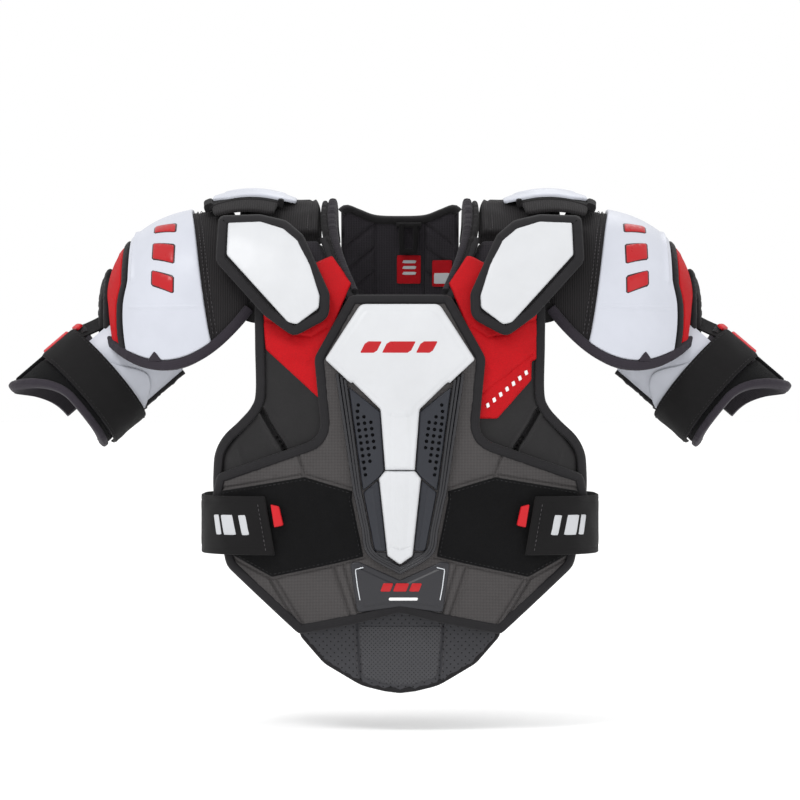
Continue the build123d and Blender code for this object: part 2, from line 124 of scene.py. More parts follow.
AXIS = np.array((0.735, -0.2, -0.648))
AXIS = AXIS / np.linalg.norm(AXIS)
UP = np.array((0.663, 0.0, 0.748))
UP = UP - AXIS * UP.dot(AXIS)
UP = UP / np.linalg.norm(UP)
FRONT = np.cross(AXIS, UP)
FRONT = -FRONT if FRONT[1] > 0 else FRONT
SLEEVE_R = 52.5                            # mean of the two radii below
SLEEVE_UP, SLEEVE_FRONT = 54.0, 51.0
SLEEVE_CENTRE = np.array((288.0, -8.0, -144.0))


def sleeve_guide(a, b):
    """a is the arc round the arm from its outer side, positive to the front; b runs towards the hand."""
    turn = a / SLEEVE_R
    round_ = UP * (SLEEVE_UP * np.cos(turn))[..., None] + FRONT * (SLEEVE_FRONT * np.sin(turn))[..., None]
    return SLEEVE_CENTRE + AXIS * b[..., None] + round_


def roll_edge(v):
    share = np.clip((torso(np.full_like(v, 60.0), v)[..., 2] + 64) / 72, 0, 1)
    return 37 + 22 * np.sin(share * math.pi / 2), 9.0 + 4.5 * share


def collar_guide(a, v):
    """a is 0 at the neck and 10 at the outer side of the roll."""
    edge, width = roll_edge(v)
    return torso(edge + width * a / 10, v)


STRAP_POINTS = np.array((
    (90, -132.5), (112, -128.6), (140, -121.8), (162, -107), (177, -80), (181.5, -40), (182, 0), (181, 40),
    (171.5, 70), (157.5, 86.5), (143, 94),
), float)


def smooth_path(points, step):
    """A Catmull-Rom path through 2-D or 3-D points, resampled evenly."""
    p = np.vstack([2 * points[0] - points[1], points, 2 * points[-1] - points[-2]])
    t = np.linspace(0, 1, 24, endpoint=False)[:, None]
    out = []
    for i in range(1, len(p) - 2):
        a, b, c, d = p[i - 1:i + 3]
        out.append(0.5 * (2 * b + (c - a) * t + (2 * a - 5 * b + 4 * c - d) * t**2
                          + (3 * b - a - 3 * c + d) * t**3))
    out = np.vstack(out + [p[-2][None]])
    return resample(out, step)


def resample(line, step, closed=False):
    if closed:
        line = np.vstack([line, line[:1]])
    leg = np.linalg.norm(np.diff(line, axis=0), axis=1)
    s = np.concatenate([[0], np.cumsum(leg)])
    count = max(2, int(round(s[-1] / step)))
    at = np.linspace(0, s[-1], count + 1)
    if closed:
        at = at[:-1]
    return np.stack([np.interp(at, s, line[:, k]) for k in range(line.shape[1])], -1)


STRAP_LINE = smooth_path(STRAP_POINTS, 1.0)
STRAP_ARC = np.concatenate([[0], np.cumsum(np.linalg.norm(np.diff(STRAP_LINE, axis=0), axis=1))])
STRAP_ARC -= STRAP_ARC[np.argmin(np.abs(STRAP_LINE[:, 0] - 112) + (STRAP_LINE[:, 1] > 0) * 99)]


def strap_guide(a, z):
    """a is 0 at the waist strap's front end and grows round the side to the back."""
    return np.stack([np.interp(a, STRAP_ARC, STRAP_LINE[:, 0]), np.interp(a, STRAP_ARC, STRAP_LINE[:, 1]),
                     z], -1)


def lift(guide, u, v, d, sign=1.0, h=0.5):
    u, v = np.asarray(u, float), np.asarray(v, float)
    du = guide(u + h, v) - guide(u - h, v)
    dv = guide(u, v + h) - guide(u, v - h)
    n = np.cross(du, dv)
    n /= np.linalg.norm(n, axis=-1, keepdims=True) + 1e-12
    return guide(u, v) + n * (np.broadcast_to(d, u.shape) * sign)[..., None]


def seen_from_front(guide_at, sign=1.0):
    """A surface whose two coordinates are the x and z where the lifted point itself lies."""
    def surface(x, z, d):
        x, z = np.asarray(x, float), np.asarray(z, float)
        gx, gz = x.copy(), z.copy()
        for _ in range(9):
            q = lift(guide_at, gx, gz, d, sign)
            gx = np.clip(gx + (x - q[..., 0]) * 0.8, -181, 181)
            gz = gz + (z - q[..., 2]) * 0.8
        return lift(guide_at, gx, gz, d, sign)
    return surface


def front_v(z):
    return np.where(z < ARCH_Z, z - ARCH_Z, ARCH * np.arcsin(np.clip((z - ARCH_Z) / ARCH, 0, 0.995)))


front = seen_from_front(lambda x, z: torso(x, front_v(z)))
back = seen_from_front(lambda x, z: torso(x, HALF_TURN - front_v(z)), -1.0)
clavicle = seen_from_front(clavicle_guide)


def dome(s, w, d):
    return lift(dome_guide, s, w, d)


def dome_end(y, z, d):
    return lift(dome_end_guide, y, z, d)


def top_cap(x, y, d):
    return lift(top_guide, x, y, d)


def wall(x, z, d):
    return lift(wall_guide, x, z, d, -1.0)


def sleeve(a, b, d):
    return lift(sleeve_guide, a, b, d, SLEEVE_SIGN)


def collar(a, v, d):
    return lift(collar_guide, a, v, d)


def yoke(x, v, d):
    return lift(torso, x, v, d)


def strap(a, z, d):
    return lift(strap_guide, a, z, d)


probe = lift(sleeve_guide, np.array([60.0]), np.array([0.0]), 1.0)[0] - SLEEVE_CENTRE
SLEEVE_SIGN = 1.0 if np.linalg.norm(probe - AXIS * probe.dot(AXIS)) > 51.8 else -1.0


# ================================================================ flat shapes
def rounded(points, step=2.2):
    """A closed outline from (a, b, corner radius) points, sampled along its arcs and straight runs."""
    step *= FINE
    p = np.array([q[:2] for q in points], float)
    radii = [q[2] if len(q) > 2 else 1.0 for q in points]
    out = []
    for i in range(len(p)):
        here, before, after = p[i], p[i - 1], p[(i + 1) % len(p)]
        a, b = before - here, after - here
        la, lb = np.linalg.norm(a), np.linalg.norm(b)
        a, b = a / la, b / lb
        angle = math.acos(max(-1, min(1, a.dot(b))))
        reach = min(radii[i] / max(math.tan(angle / 2), 1e-3), la * 0.48, lb * 0.48)
        start, end = here + a * reach, here + b * reach
        bend = max(2, int((math.pi - angle) / 0.3) + 1)
        t = np.linspace(0, 1, bend + 1)[:, None]
        out.append((1 - t) ** 2 * start + 2 * t * (1 - t) * here + t**2 * end)
    line = []
    for i, arc in enumerate(out):
        line.extend(arc)
        gap = out[(i + 1) % len(out)][0] - arc[-1]
        count = int(np.linalg.norm(gap) / step)
        line.extend(arc[-1] + gap * k / (count + 1) for k in range(1, count + 1))
    line = np.array(line)
    keep = np.linalg.norm(line - np.roll(line, 1, axis=0), axis=1) > 0.25
    line = line[keep]
    area = 0.5 * np.sum(line[:, 0] * np.roll(line[:, 1], -1) - np.roll(line[:, 0], -1) * line[:, 1])
    return line if area > 0 else line[::-1]


def halves(half):
    """The whole outline from its half at +X."""
    return list(half) + [(-q[0], q[1], q[2]) for q in reversed(half) if q[0] > 0.5]


def flipped(points):
    return [(-q[0],) + tuple(q[1:]) for q in points]


def on_side(s, points):
    """An outline of the left side, or its mirror image where s is -1."""
    return points if s > 0 else flipped(points)


def distance(line, pts, closed):
    """Distance from each point to a polyline."""
    a = line if closed else line[:-1]
    b = np.roll(line, -1, axis=0) if closed else line[1:]
    d = b - a
    length = np.maximum((d**2).sum(1), 1e-9)
    out = np.empty(len(pts))
    for i in range(0, len(pts), 4000):
        q = pts[i:i + 4000, None, :] - a[None]
        t = np.clip((q * d[None]).sum(-1) / length[None], 0, 1)
        out[i:i + 4000] = np.sqrt((((q - t[..., None] * d[None]) ** 2).sum(-1)).min(1))
    return out


def inside(line, pts):
    a, b = line, np.roll(line, -1, axis=0)
    out = np.zeros(len(pts), bool)
    for i in range(0, len(pts), 4000):
        q = pts[i:i + 4000]
        above = (a[None, :, 1] > q[:, None, 1]) != (b[None, :, 1] > q[:, None, 1])
        with np.errstate(divide="ignore", invalid="ignore"):
            x = (b[:, 0] - a[:, 0])[None] * (q[:, None, 1] - a[None, :, 1]) / (b[:, 1] - a[:,
                    1])[None] + a[None, :, 0]
        out[i:i + 4000] = (above & (q[:, None, 0] < x)).sum(1) % 2 == 1
    return out


def sideways(line, closed):
    """Unit vectors to the left of a line's direction of travel."""
    ahead = np.roll(line, -1, axis=0) - np.roll(line, 1, axis=0)
    if not closed:
        ahead[0], ahead[-1] = line[1] - line[0], line[-1] - line[-2]
    ahead /= np.linalg.norm(ahead, axis=1, keepdims=True) + 1e-9
    return np.stack([-ahead[:, 1], ahead[:, 0]], -1)


def noise(pts, scale, seed=0):
    """Smooth repeatable wobble, about -1 to 1, of 2-D or 3-D points."""
    rng = np.random.default_rng(seed)
    total = np.zeros(len(pts))
    for _ in range(6):
        k = rng.normal(size=pts.shape[1])
        k *= rng.uniform(0.6, 1.7) / scale / np.linalg.norm(k)
        total += np.sin(pts @ k * 2 * math.pi + rng.uniform(0, 6.28))
    return total / 3.2


# ================================================================ meshes
def make_object(name, verts, faces, cloth, material, sharp=38):
    mesh = bpy.data.meshes.new(name)
    mesh.from_pydata((np.asarray(verts) * MM).tolist(), [], faces)
    layer = mesh.uv_layers.new(name="cloth")
    loops = np.empty(len(mesh.loops), np.int32)
    mesh.loops.foreach_get("vertex_index", loops)
    layer.data.foreach_set("uv", (np.asarray(cloth)[loops] * MM).astype(np.float32).ravel())
    solid = bmesh.new()
    solid.from_mesh(mesh)
    bmesh.ops.recalc_face_normals(solid, faces=solid.faces)
    solid.to_mesh(mesh)
    solid.free()
    mesh.polygons.foreach_set("use_smooth", [True] * len(mesh.polygons))
    mesh.set_sharp_from_angle(angle=math.radians(sharp))
    mesh.materials.append(material)
    mesh.update()
    obj = bpy.data.objects.new(name, mesh)
    bpy.context.scene.collection.objects.link(obj)
    return obj


def triangulate(ring, extra):
    verts = [Vector(p) for p in np.vstack([ring, extra])] if len(extra) else [Vector(p) for p in ring]
    edges = [(i, (i + 1) % len(ring)) for i in range(len(ring))]
    out, _, faces, origin, _, _ = geometry.delaunay_2d_cdt(verts, edges, [], 1, 1e-5)
    return np.array([tuple(v) for v in out]), [tuple(f) for f in faces], origin


def hex_grid(ring, grid):
    low, high = ring.min(0), ring.max(0)
    xs, ys = np.arange(low[0], high[0], grid), np.arange(low[1], high[1], grid * 0.866)
    gx, gy = np.meshgrid(xs, ys)
    gx = gx + (np.arange(len(ys))[:, None] % 2) * grid / 2
    pts = np.stack([gx.ravel(), gy.ravel()], -1)
    return pts[inside(ring, pts)]


def crease_profile(d, width, depth):
    """A sewn or moulded line: full depth in the middle, none at width from it."""
    t = np.clip(1 - d / width, 0, 1)
    return depth * t * t * (3 - 2 * t)


def pad(name, outline, surface, low, high, material, edge=3.0, start=0.35, grid=3.2, creases=(), plateaus=(),
        crown=0.0, crown_reach=18.0, swell=None, holes=(), sharp=38):
    """A closed pad on a surface. creases are (line, width, depth), plateaus (outline, rise, bevel),
    and holes (centres, radius, depth) are dents, all in the surface's own coordinates."""
    ring = rounded(outline) if not isinstance(outline, np.ndarray) else outline
    grid *= FINE
    normal = sideways(ring, True)
    extra = []
    for share in (0.1, 0.3, 0.6, 1.0):
        row = ring + normal * edge * share
        row = row[inside(ring, row)]
        extra.append(row[distance(ring, row, True) > edge * share * 0.93])
    points = hex_grid(ring, grid)
    points = points[distance(ring, points, True) > edge + grid * 0.45]
    for line, width, _ in creases:
        if len(points):
            points = points[distance(line, points, False) > width + grid * 0.35]
    for shape, _, bevel in plateaus:
        if len(points):
            points = points[distance(shape, points, True) > bevel + grid * 0.3]
    dents = []
    for centres, radius, _ in holes:
        if len(points):
            gap = np.sqrt(((points[:, None] - centres[None]) ** 2).sum(-1)).min(1)
            points = points[gap > radius * 1.45]
        turn = np.arange(8) * math.pi / 4
        for share in (0.0, 0.72, 1.0, 1.25):
            if share == 0:
                dents.append(centres)
            else:
                dents.append((centres[:, None] + radius * share * np.stack([np.cos(turn), np.sin(turn)],
                                                                           -1)).reshape(-1, 2))
    extra.append(points)
    for line, width, _ in creases:
        side = sideways(line, False)
        for share in (0, 0.45, 1.0):
            for sign in ((1,) if share == 0 else (1, -1)):
                extra.append(line + side * width * share * sign)
    for shape, _, bevel in plateaus:
        side = sideways(shape, True)
        extra += [shape, shape + side * bevel, shape - side * 0.5]
    extra += dents
    extra = np.vstack([e for e in extra if len(e)])
    extra = extra[inside(ring, extra)]
    extra = extra[distance(ring, extra, True) > min(0.3, edge * 0.08)]
    extra = extra[np.unique(np.round(extra / 0.35).astype(int), axis=0, return_index=True)[1]]
    flat, faces, _ = triangulate(ring, extra)
    depth = distance(ring, flat, True)
    t = np.clip(depth / edge, 0, 1)
    height = low + (high - low) * (start + (1 - start) * np.sqrt(1 - (1 - t) ** 2))
    relief = np.zeros(len(flat))
    for line, width, amount in creases:
        relief = np.where(np.abs(r := crease_profile(distance(line, flat, False), width,
                                                     amount)) > np.abs(relief), r, relief)
    for shape, rise, bevel in plateaus:
        within = np.where(inside(shape, flat), distance(shape, flat, True), 0)
        relief += rise * np.clip(within / bevel, 0, 1)
    for centres, radius, amount in holes:
        gap = np.sqrt(((flat[:, None] - centres[None]) ** 2).sum(-1)).min(1)
        relief += amount * np.clip((radius - gap) / (radius * 0.28), 0, 1)
    if crown:
        relief += crown * (1 - np.exp(-((depth / crown_reach) ** 2)))
    if swell is not None:
        relief += swell(flat)
    height = np.maximum(height + relief * t, low + 0.25)
    top = surface(flat[:, 0], flat[:, 1], height)
    # underside: same border, coarser inside
    inner = hex_grid(ring, max(9.0, grid * 2.6))
    inner = inner[distance(ring, inner, True) > 5] if len(inner) else inner
    flat2, faces2, _ = triangulate(ring, inner)
    under = surface(flat2[:, 0], flat2[:, 1], np.full(len(flat2), low))
    count = len(flat)
    border = border_loop(flat, ring)
    border2 = border_loop(flat2, ring)
    verts = np.vstack([top, under])
    faces = list(faces) + [tuple(count + i for i in reversed(f)) for f in faces2]
    for i in range(len(ring)):
        j = (i + 1) % len(ring)
        faces.append((border[j], border[i], count + border2[i], count + border2[j]))
    piece = make_object(name, verts, faces, np.vstack([flat, flat2]), material, sharp)
    piece["top_points"] = count
    return piece


def border_loop(flat, ring):
    """The index in flat of each point of ring."""
    table = {tuple(np.round(p, 3)): i for i, p in enumerate(flat)}
    out = []
    for p in ring:
        key = tuple(np.round(p, 3))
        out.append(table[key] if key in table else int(((flat - p) ** 2).sum(1).argmin()))
    return out


PUFF_VOXEL, PUFF_PRESSURE, PUFF_FRAMES = 0.0045, 4.0, 20
PUFF_NEAR = 6                              # simulated points that each pad point takes its swelling from


def puffed(piece, limit):
    """Fills a pad by cloth simulation under pressure, and carries the swelling over to the pad's own
    points, so that its seams stay. Only the outer side moves, by at most limit mm: the rest is held."""
    scene = bpy.context.scene
    bag = bpy.data.objects.new("bag", piece.data.copy())
    scene.collection.objects.link(bag)
    bag.modifiers.new("voxels", "REMESH").voxel_size = PUFF_VOXEL
    still = bpy.data.meshes.new_from_object(bag.evaluated_get(bpy.context.evaluated_depsgraph_get()))
    bag.modifiers.clear()
    bag.data = still
    cloth = bag.modifiers.new("cloth", "CLOTH")
    cloth.settings.use_pressure = True
    cloth.settings.uniform_pressure_force = PUFF_PRESSURE
    cloth.settings.effector_weights.gravity = 0
    cloth.point_cache.frame_start, cloth.point_cache.frame_end = 1, PUFF_FRAMES
    for frame_number in range(1, PUFF_FRAMES + 1):
        scene.frame_set(frame_number)
    blown = bag.evaluated_get(bpy.context.evaluated_depsgraph_get()).data
    count = len(still.vertices)
    before, after = np.empty(count * 3), np.empty(count * 3)
    still.vertices.foreach_get("co", before)
    blown.vertices.foreach_get("co", after)
    before, shift = before.reshape(-1, 3), (after - before).reshape(-1, 3)
    shift -= shift.mean(0)
    tree = kdtree.KDTree(count)
    for i, point in enumerate(before):
        tree.insert(point, i)
    tree.balance()
    for vertex in piece.data.vertices[:piece["top_points"]]:
        near = tree.find_n(vertex.co, PUFF_NEAR)
        weights = np.array([1 / (gap + MM) for _, _, gap in near])
        move = (shift[[i for _, i, _ in near]] * weights[:, None]).sum(0) / weights.sum()
        rise = min(limit * MM, max(0.0, float(np.dot(move, vertex.normal))))
        vertex.co += vertex.normal * rise
    bpy.data.objects.remove(bag)
    scene.frame_set(1)
    return piece


def tape(name, line, surface, base, width, height, material, closed=True, wrinkle=0.05, square=0.6, seed=1,
         thick=1.0):
    """Sewn tape along a line: a soft, slightly flattened half-round laid on the surface."""
    line = resample(line, 2.4 * FINE, closed)
    side = sideways(line, closed)
    turns = np.linspace(0, math.pi, 11)
    across = np.sign(np.cos(turns)) * np.abs(np.cos(turns)) ** square * width / 2
    rise = np.sin(turns) ** square * height
    across = np.concatenate([across, np.array((-0.5, 0.0, 0.5)) * width * 0.8])
    rise = np.concatenate([rise, np.full(3, -thick)])
    s = np.arange(len(line)) * 2.4 * FINE
    wobble = 1 + wrinkle * noise(s[:, None], 9.0, seed) + wrinkle * 0.7 * noise(s[:, None], 24.0, seed + 1)
    rows, cloth = [], []
    for k in range(len(across)):
        at = line + side * across[k]
        rows.append(surface(at[:, 0], at[:, 1], base + rise[k] * (wobble if rise[k] > 0 else 1)))
        cloth.append(np.stack([s, np.full(len(s), across[k] * 1.3)], -1))
    return sweep(name, np.stack(rows, 1), np.stack(cloth, 1), material, closed)


def sweep(name, rows, cloth, material, closed, sharp=50):
    """A tube from rows of cross-section points: rows[i][k]."""
    n, k = rows.shape[:2]
    faces = []
    for i in range(n if closed else n - 1):
        j = (i + 1) % n
        for a in range(k):
            b = (a + 1) % k
            faces.append((i * k + a, i * k + b, j * k + b, j * k + a))
    if not closed:
        faces.append(tuple(range(k - 1, -1, -1)))
        faces.append(tuple((n - 1) * k + a for a in range(k)))
    return make_object(name, rows.reshape(-1, 3), faces, cloth.reshape(-1, 2), material, sharp)


def stitches(name, runs, material, length=2.5, gap=1.3, width=0.36):
    """Thread runs: each is (line, closed, surface, offset). One mesh of short rounded stitches."""
    verts, faces, cloth = [], [], []
    for line, closed, surface, offset in runs:
        fine = resample(line, 0.8, closed)
        period = int(round((length + gap) / 0.8))
        half = max(1, int(round(length / 0.8)))
        starts = np.arange(0, len(fine) - half - 1, period)
        a, b = fine[starts], fine[starts + half]
        middle = (a + b) / 2
        pa, pb = surface(a[:, 0], a[:, 1], offset), surface(b[:, 0], b[:, 1], offset)
        pm = surface(middle[:, 0], middle[:, 1], offset + 0.45)
        up = pm - (pa + pb) / 2
        up /= np.linalg.norm(up, axis=1, keepdims=True) + 1e-9
        along = pb - pa
        side = np.cross(along, up)
        side /= np.linalg.norm(side, axis=1, keepdims=True) + 1e-9
        for i in range(len(starts)):
            first = len(verts)
            for where, scale in ((pa[i], 0.5), (pm[i], 1.0), (pb[i], 0.5)):
                for direction in (side[i], up[i], -side[i], -up[i]):
                    verts.append(where + direction * width * scale)
                    cloth.append(middle[i])
            for ring in (0, 4):
                for c in range(4):
                    d = (c + 1) % 4
                    faces.append((first + ring + c, first + ring + d, first + ring + 4 + d,
                                  first + ring + 4 + c))
            faces.append((first + 3, first + 2, first + 1, first))
            faces.append((first + 8, first + 9, first + 10, first + 11))
    return make_object(name, verts, faces, cloth, material, 80)


# ================================================================ materials
def shader(name, color, rough, **sockets):
    """A new material; returns it with its node tree, principled shader and a helper that adds nodes."""
    mat = bpy.data.materials.new(name)
    mat.use_nodes = True
    tree = mat.node_tree
    base = tree.nodes["Principled BSDF"]
    base.inputs["Base Color"].default_value = (*color, 1)
    base.inputs["Roughness"].default_value = rough
    for key, value in sockets.items():
        base.inputs[key.replace("_", " ")].default_value = value
    mat.diffuse_color = (*color, 1)

    def add(kind, inputs=(), **props):
        node = tree.nodes.new("ShaderNode" + kind)
        for key, value in props.items():
            setattr(node, key, value)
        for key, value in dict(inputs).items():
            if isinstance(value, bpy.types.NodeSocket):
                tree.links.new(value, node.inputs[key])
            else:
                node.inputs[key].default_value = value
        return node

    return mat, tree, base, add


def mathn(add, op, a, b=None, c=None):
    inputs = {0: a}
    if b is not None:
        inputs[1] = b
    if c is not None:
        inputs[2] = c
    return add("Math", inputs, operation=op).outputs[0]


def threads(add, pitch_u, pitch_v, turn=0.0):
    """Two sine waves along the cloth's own directions, pitches in millimetres."""
    uv = add("UVMap", uv_map="cloth").outputs[0]
    if turn:
        uv = add("VectorRotate", {"Vector": uv, "Angle": turn}, rotation_type="Z_AXIS").outputs[0]
    parts = add("SeparateXYZ", {0: uv}).outputs
    wave_u = mathn(add, "SINE", mathn(add, "MULTIPLY", parts[0], 2000 * math.pi / pitch_u))
    wave_v = mathn(add, "SINE", mathn(add, "MULTIPLY", parts[1], 2000 * math.pi / pitch_v))
    return wave_u, wave_v


def grain(add, scale, detail=4.0, rough=0.6):
    where = add("TexCoord").outputs["Object"]
    return add("TexNoise", {"Vector": where, "Scale": scale, "Detail": detail,
                            "Roughness": rough}).outputs["Fac"]


def mix_color(add, factor, a, b):
    node = add("Mix", data_type="RGBA")
    links = node.id_data.links
    links.new(factor, node.inputs[0])
    node.inputs[6].default_value = (*a, 1)
    node.inputs[7].default_value = (*b, 1)
    return node.outputs[2]


def bump(add, height, strength, distance_mm):
    return add("Bump", {"Height": height, "Strength": strength, "Distance": distance_mm * MM}).outputs[0]


def scaled(color, k):
    return tuple(min(1.0, c * k) for c in color)


def cloth_material(name, color, pitch=(1.3, 1.3), weave="check", depth=0.25, contrast=0.35, rough=0.78,
                   sheen=0.25, turn=0.0, patch=0.25, fuzz=0.0):
    """Woven or knitted cloth: threads give height and a change of tone, over broad fading."""
    mat, tree, base, add = shader(name, color, rough)
    base.inputs["Sheen Weight"].default_value = sheen * 0.16
    base.inputs["Sheen Roughness"].default_value = 0.45
    base.inputs["Specular IOR Level"].default_value = 0.12
    u, v = threads(add, *pitch, turn)
    if weave == "check":
        height = mathn(add, "MULTIPLY", u, v)
    elif weave == "rib":
        height = mathn(add, "ADD", mathn(add, "MULTIPLY", u, 0.8), mathn(add, "MULTIPLY", v, 0.2))
    else:
        height = mathn(add, "MAXIMUM", u, v)
    unit = mathn(add, "MULTIPLY_ADD", height, 0.5, 0.5)
    fine = grain(add, 900.0, 3.0)
    broad = grain(add, 26.0, 3.0)
    tone = mathn(add, "ADD", mathn(add, "MULTIPLY", unit, contrast), mathn(add, "MULTIPLY", fine, 0.30))
    tone = mathn(add, "ADD", tone, mathn(add, "MULTIPLY", broad, patch))
    cloth = mix_color(add, tone, scaled(color, 0.22), scaled(color, 1.30))
    tree.links.new(cloth, base.inputs["Base Color"])
    total = mathn(add, "ADD", unit, mathn(add, "MULTIPLY", fine, 0.7 + fuzz))
    tree.links.new(bump(add, total, 0.8, depth), base.inputs["Normal"])
    rough_out = mathn(add, "MULTIPLY_ADD", fine, 0.25, rough - 0.12)
    tree.links.new(rough_out, base.inputs["Roughness"])
    return mat


def plastic_material(name, color, rough=0.34, coat=0.25, texture=0.05, scale=700.0, dirt=0.12, metallic=0.0):
    """Moulded plastic: fine skin, faint flow marks, and a little rubbing that dulls it."""
    mat, tree, base, add = shader(name, color, rough, Metallic=metallic)
    base.inputs["Specular IOR Level"].default_value = 0.28
    base.inputs["Coat Weight"].default_value = coat * 0.4
    base.inputs["Coat Roughness"].default_value = 0.22
    skin = grain(add, scale, 2.0)
    flow = grain(add, 18.0, 4.0)
    scuff = grain(add, 120.0, 6.0, 0.75)
    color_out = mix_color(add, flow, scaled(color, 1 - dirt), scaled(color, 1 + dirt * 0.6))
    tree.links.new(color_out, base.inputs["Base Color"])
    rubbed = mathn(add, "MULTIPLY_ADD", scuff, 0.22, rough - 0.11)
    tree.links.new(rubbed, base.inputs["Roughness"])
    height = mathn(add, "ADD", mathn(add, "MULTIPLY", skin, 0.6), mathn(add, "MULTIPLY", flow, 1.2))
    tree.links.new(bump(add, height, 0.5, texture), base.inputs["Normal"])
    return mat


def perforated_material(name, color, pitch, hole):
    """Synthetic leather with rows of small punched holes."""
    mat, tree, base, add = shader(name, color, 0.5)
    base.inputs["Specular IOR Level"].default_value = 0.2
    u, v = threads(add, pitch, pitch, math.pi / 4)
    peak = mathn(add, "MULTIPLY", mathn(add, "MULTIPLY_ADD", u, 0.5, 0.5),
                 mathn(add, "MULTIPLY_ADD", v, 0.5, 0.5))
    punched = mathn(add, "MULTIPLY", mathn(add, "SUBTRACT", peak, 1 - hole), 1 / hole)
    punched = add("Clamp", {0: punched}).outputs[0]
    fine = grain(add, 420.0, 5.0)
    tone = mathn(add, "SUBTRACT", mathn(add, "MULTIPLY_ADD", fine, 0.5, 0.5),
                 mathn(add, "MULTIPLY", punched, 1.2))
    tree.links.new(mix_color(add, tone, scaled(color, 0.15), scaled(color, 1.5)), base.inputs["Base Color"])
    height = mathn(add, "SUBTRACT", mathn(add, "MULTIPLY", fine, 0.3), punched)
    tree.links.new(bump(add, height, 0.8, 0.3), base.inputs["Normal"])
    tree.links.new(mathn(add, "MULTIPLY_ADD", fine, 0.25, 0.38), base.inputs["Roughness"])
    return mat


WHITE = plastic_material("white_plastic", (0.590, 0.600, 0.618), 0.38, 0.15, 0.10)
CAP_WHITE = plastic_material("cap_white", (0.535, 0.553, 0.612), 0.40, 0.12, 0.10)
GLOSS_BLACK = plastic_material("gloss_black", (0.018, 0.018, 0.021), 0.22, 0.6, 0.05)
VENT = plastic_material("vent_plastic", (0.020, 0.022, 0.029), 0.36, 0.15, 0.08)
BADGE = plastic_material("badge_plastic", (0.022, 0.022, 0.026), 0.34, 0.3, 0.08)
BRIGHT = plastic_material("bright_edge", (0.62, 0.64, 0.67), 0.26, 0.4, 0.04, metallic=0.6)
MARK_RED = plastic_material("mark_red", (0.42, 0.006, 0.010), 0.30, 0.2, 0.04)
MARK_DARK = plastic_material("mark_dark", (0.035, 0.012, 0.014), 0.32, 0.4, 0.04)
MARK_GREY = plastic_material("mark_grey", (0.52, 0.53, 0.55), 0.5, 0.0, 0.05)
MARK_WHITE = plastic_material("mark_white", (0.85, 0.85, 0.85), 0.5, 0.0, 0.05)
DARK_HOLE = plastic_material("vent_shadow", (0.004, 0.004, 0.005), 0.9, 0.0, 0.05)
RED_TAB = plastic_material("red_tab", (0.52, 0.006, 0.012), 0.48, 0.05, 0.10)
CHEST = cloth_material("chest_foam", (0.062, 0.058, 0.058), (1.9, 1.9), "check", 0.34, 0.85, 0.72, 0.12,
                       0.785, 0.30)
CHEST_SMOOTH = cloth_material("chest_smooth", (0.030, 0.029, 0.030), (1.0, 1.0), "check", 0.07, 0.18, 0.46,
                              0.06, 0.785, 0.35)
RIBBED = cloth_material("ribbed_textile", (0.022, 0.0205, 0.0215), (2.1, 0.9), "rib", 0.30, 0.55, 0.80, 0.22)
SOFT_BLACK = cloth_material("soft_black", (0.020, 0.019, 0.020), (1.1, 0.8), "check", 0.16, 0.40, 0.84, 0.30)
BINDING = cloth_material("binding_tape", (0.0235, 0.0225, 0.0245), (0.9, 2.4), "rib", 0.14, 0.35, 0.70, 0.35)
PURPLE = cloth_material("cuff_tape", (0.040, 0.034, 0.044), (0.9, 2.4), "rib", 0.14, 0.35, 0.72, 0.40)
RED = cloth_material("red_cloth", (0.74, 0.0055, 0.012), (1.0, 1.0), "check", 0.14, 0.22, 0.55, 0.12, 0.0,
                     0.16)
LINER = cloth_material("liner_knit", (0.032, 0.029, 0.034), (2.4, 1.6), "knit", 0.30, 0.45, 0.9, 0.45)
VELVET = cloth_material("loop_pile", (0.0065, 0.0065, 0.0070), (0.8, 0.8), "check", 0.35, 0.5, 0.96, 0.22,
                        0.3, 0.35, 1.2)
WEBBING = cloth_material("webbing", (0.0115, 0.0110, 0.0115), (1.7, 1.15), "check", 0.30, 0.55, 0.82, 0.25)
HOOK = cloth_material("hook_tape", (0.012, 0.012, 0.0125), (1.2, 1.2), "check", 0.5, 0.7, 0.6, 0.1, 0.0,
                      0.2, 0.8)
LABEL = cloth_material("label_cloth", (0.60, 0.006, 0.014), (0.6, 0.6), "check", 0.10, 0.3, 0.6, 0.2)
THREAD = cloth_material("thread", (0.028, 0.027, 0.029), (0.5, 0.5), "rib", 0.05, 0.5, 0.6, 0.3)
THREAD_GREY = cloth_material("thread_grey", (0.085, 0.080, 0.085), (0.5, 0.5), "rib", 0.05, 0.5, 0.6, 0.3)
PERFORATED = perforated_material("perforated_foam", (0.046, 0.046, 0.050), 2.7, 0.42)
PERFORATED_WIDE = perforated_material("perforated_edge", (0.034, 0.034, 0.038), 4.8, 0.26)


# ================================================================ how pieces join the frame
def other_side(name):
    if name.startswith("left_"):
        return "right_" + name[5:]
    return name


def hold(obj, body, nodes=(), sides=False):
    """Puts a piece on its body; sides also makes its mirror image for the right."""
    twin = None
    if sides:
        mesh = obj.data.copy()
        co = np.empty(len(mesh.vertices) * 3, np.float32)
        mesh.vertices.foreach_get("co", co)
        co[0::3] *= -1
        mesh.vertices.foreach_set("co", co)
        mesh.flip_normals()
        twin = bpy.data.objects.new(other_side(obj.name), mesh)
        bpy.context.scene.collection.objects.link(twin)
    for piece, where, stands in ((obj, body, nodes),
                                 (twin, other_side(body), [other_side(n) for n in nodes])):
        if piece is None:
            continue
        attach(piece, where)
        if stands and (piece is obj or list(stands) != list(nodes)):
            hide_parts(*stands)
    return obj


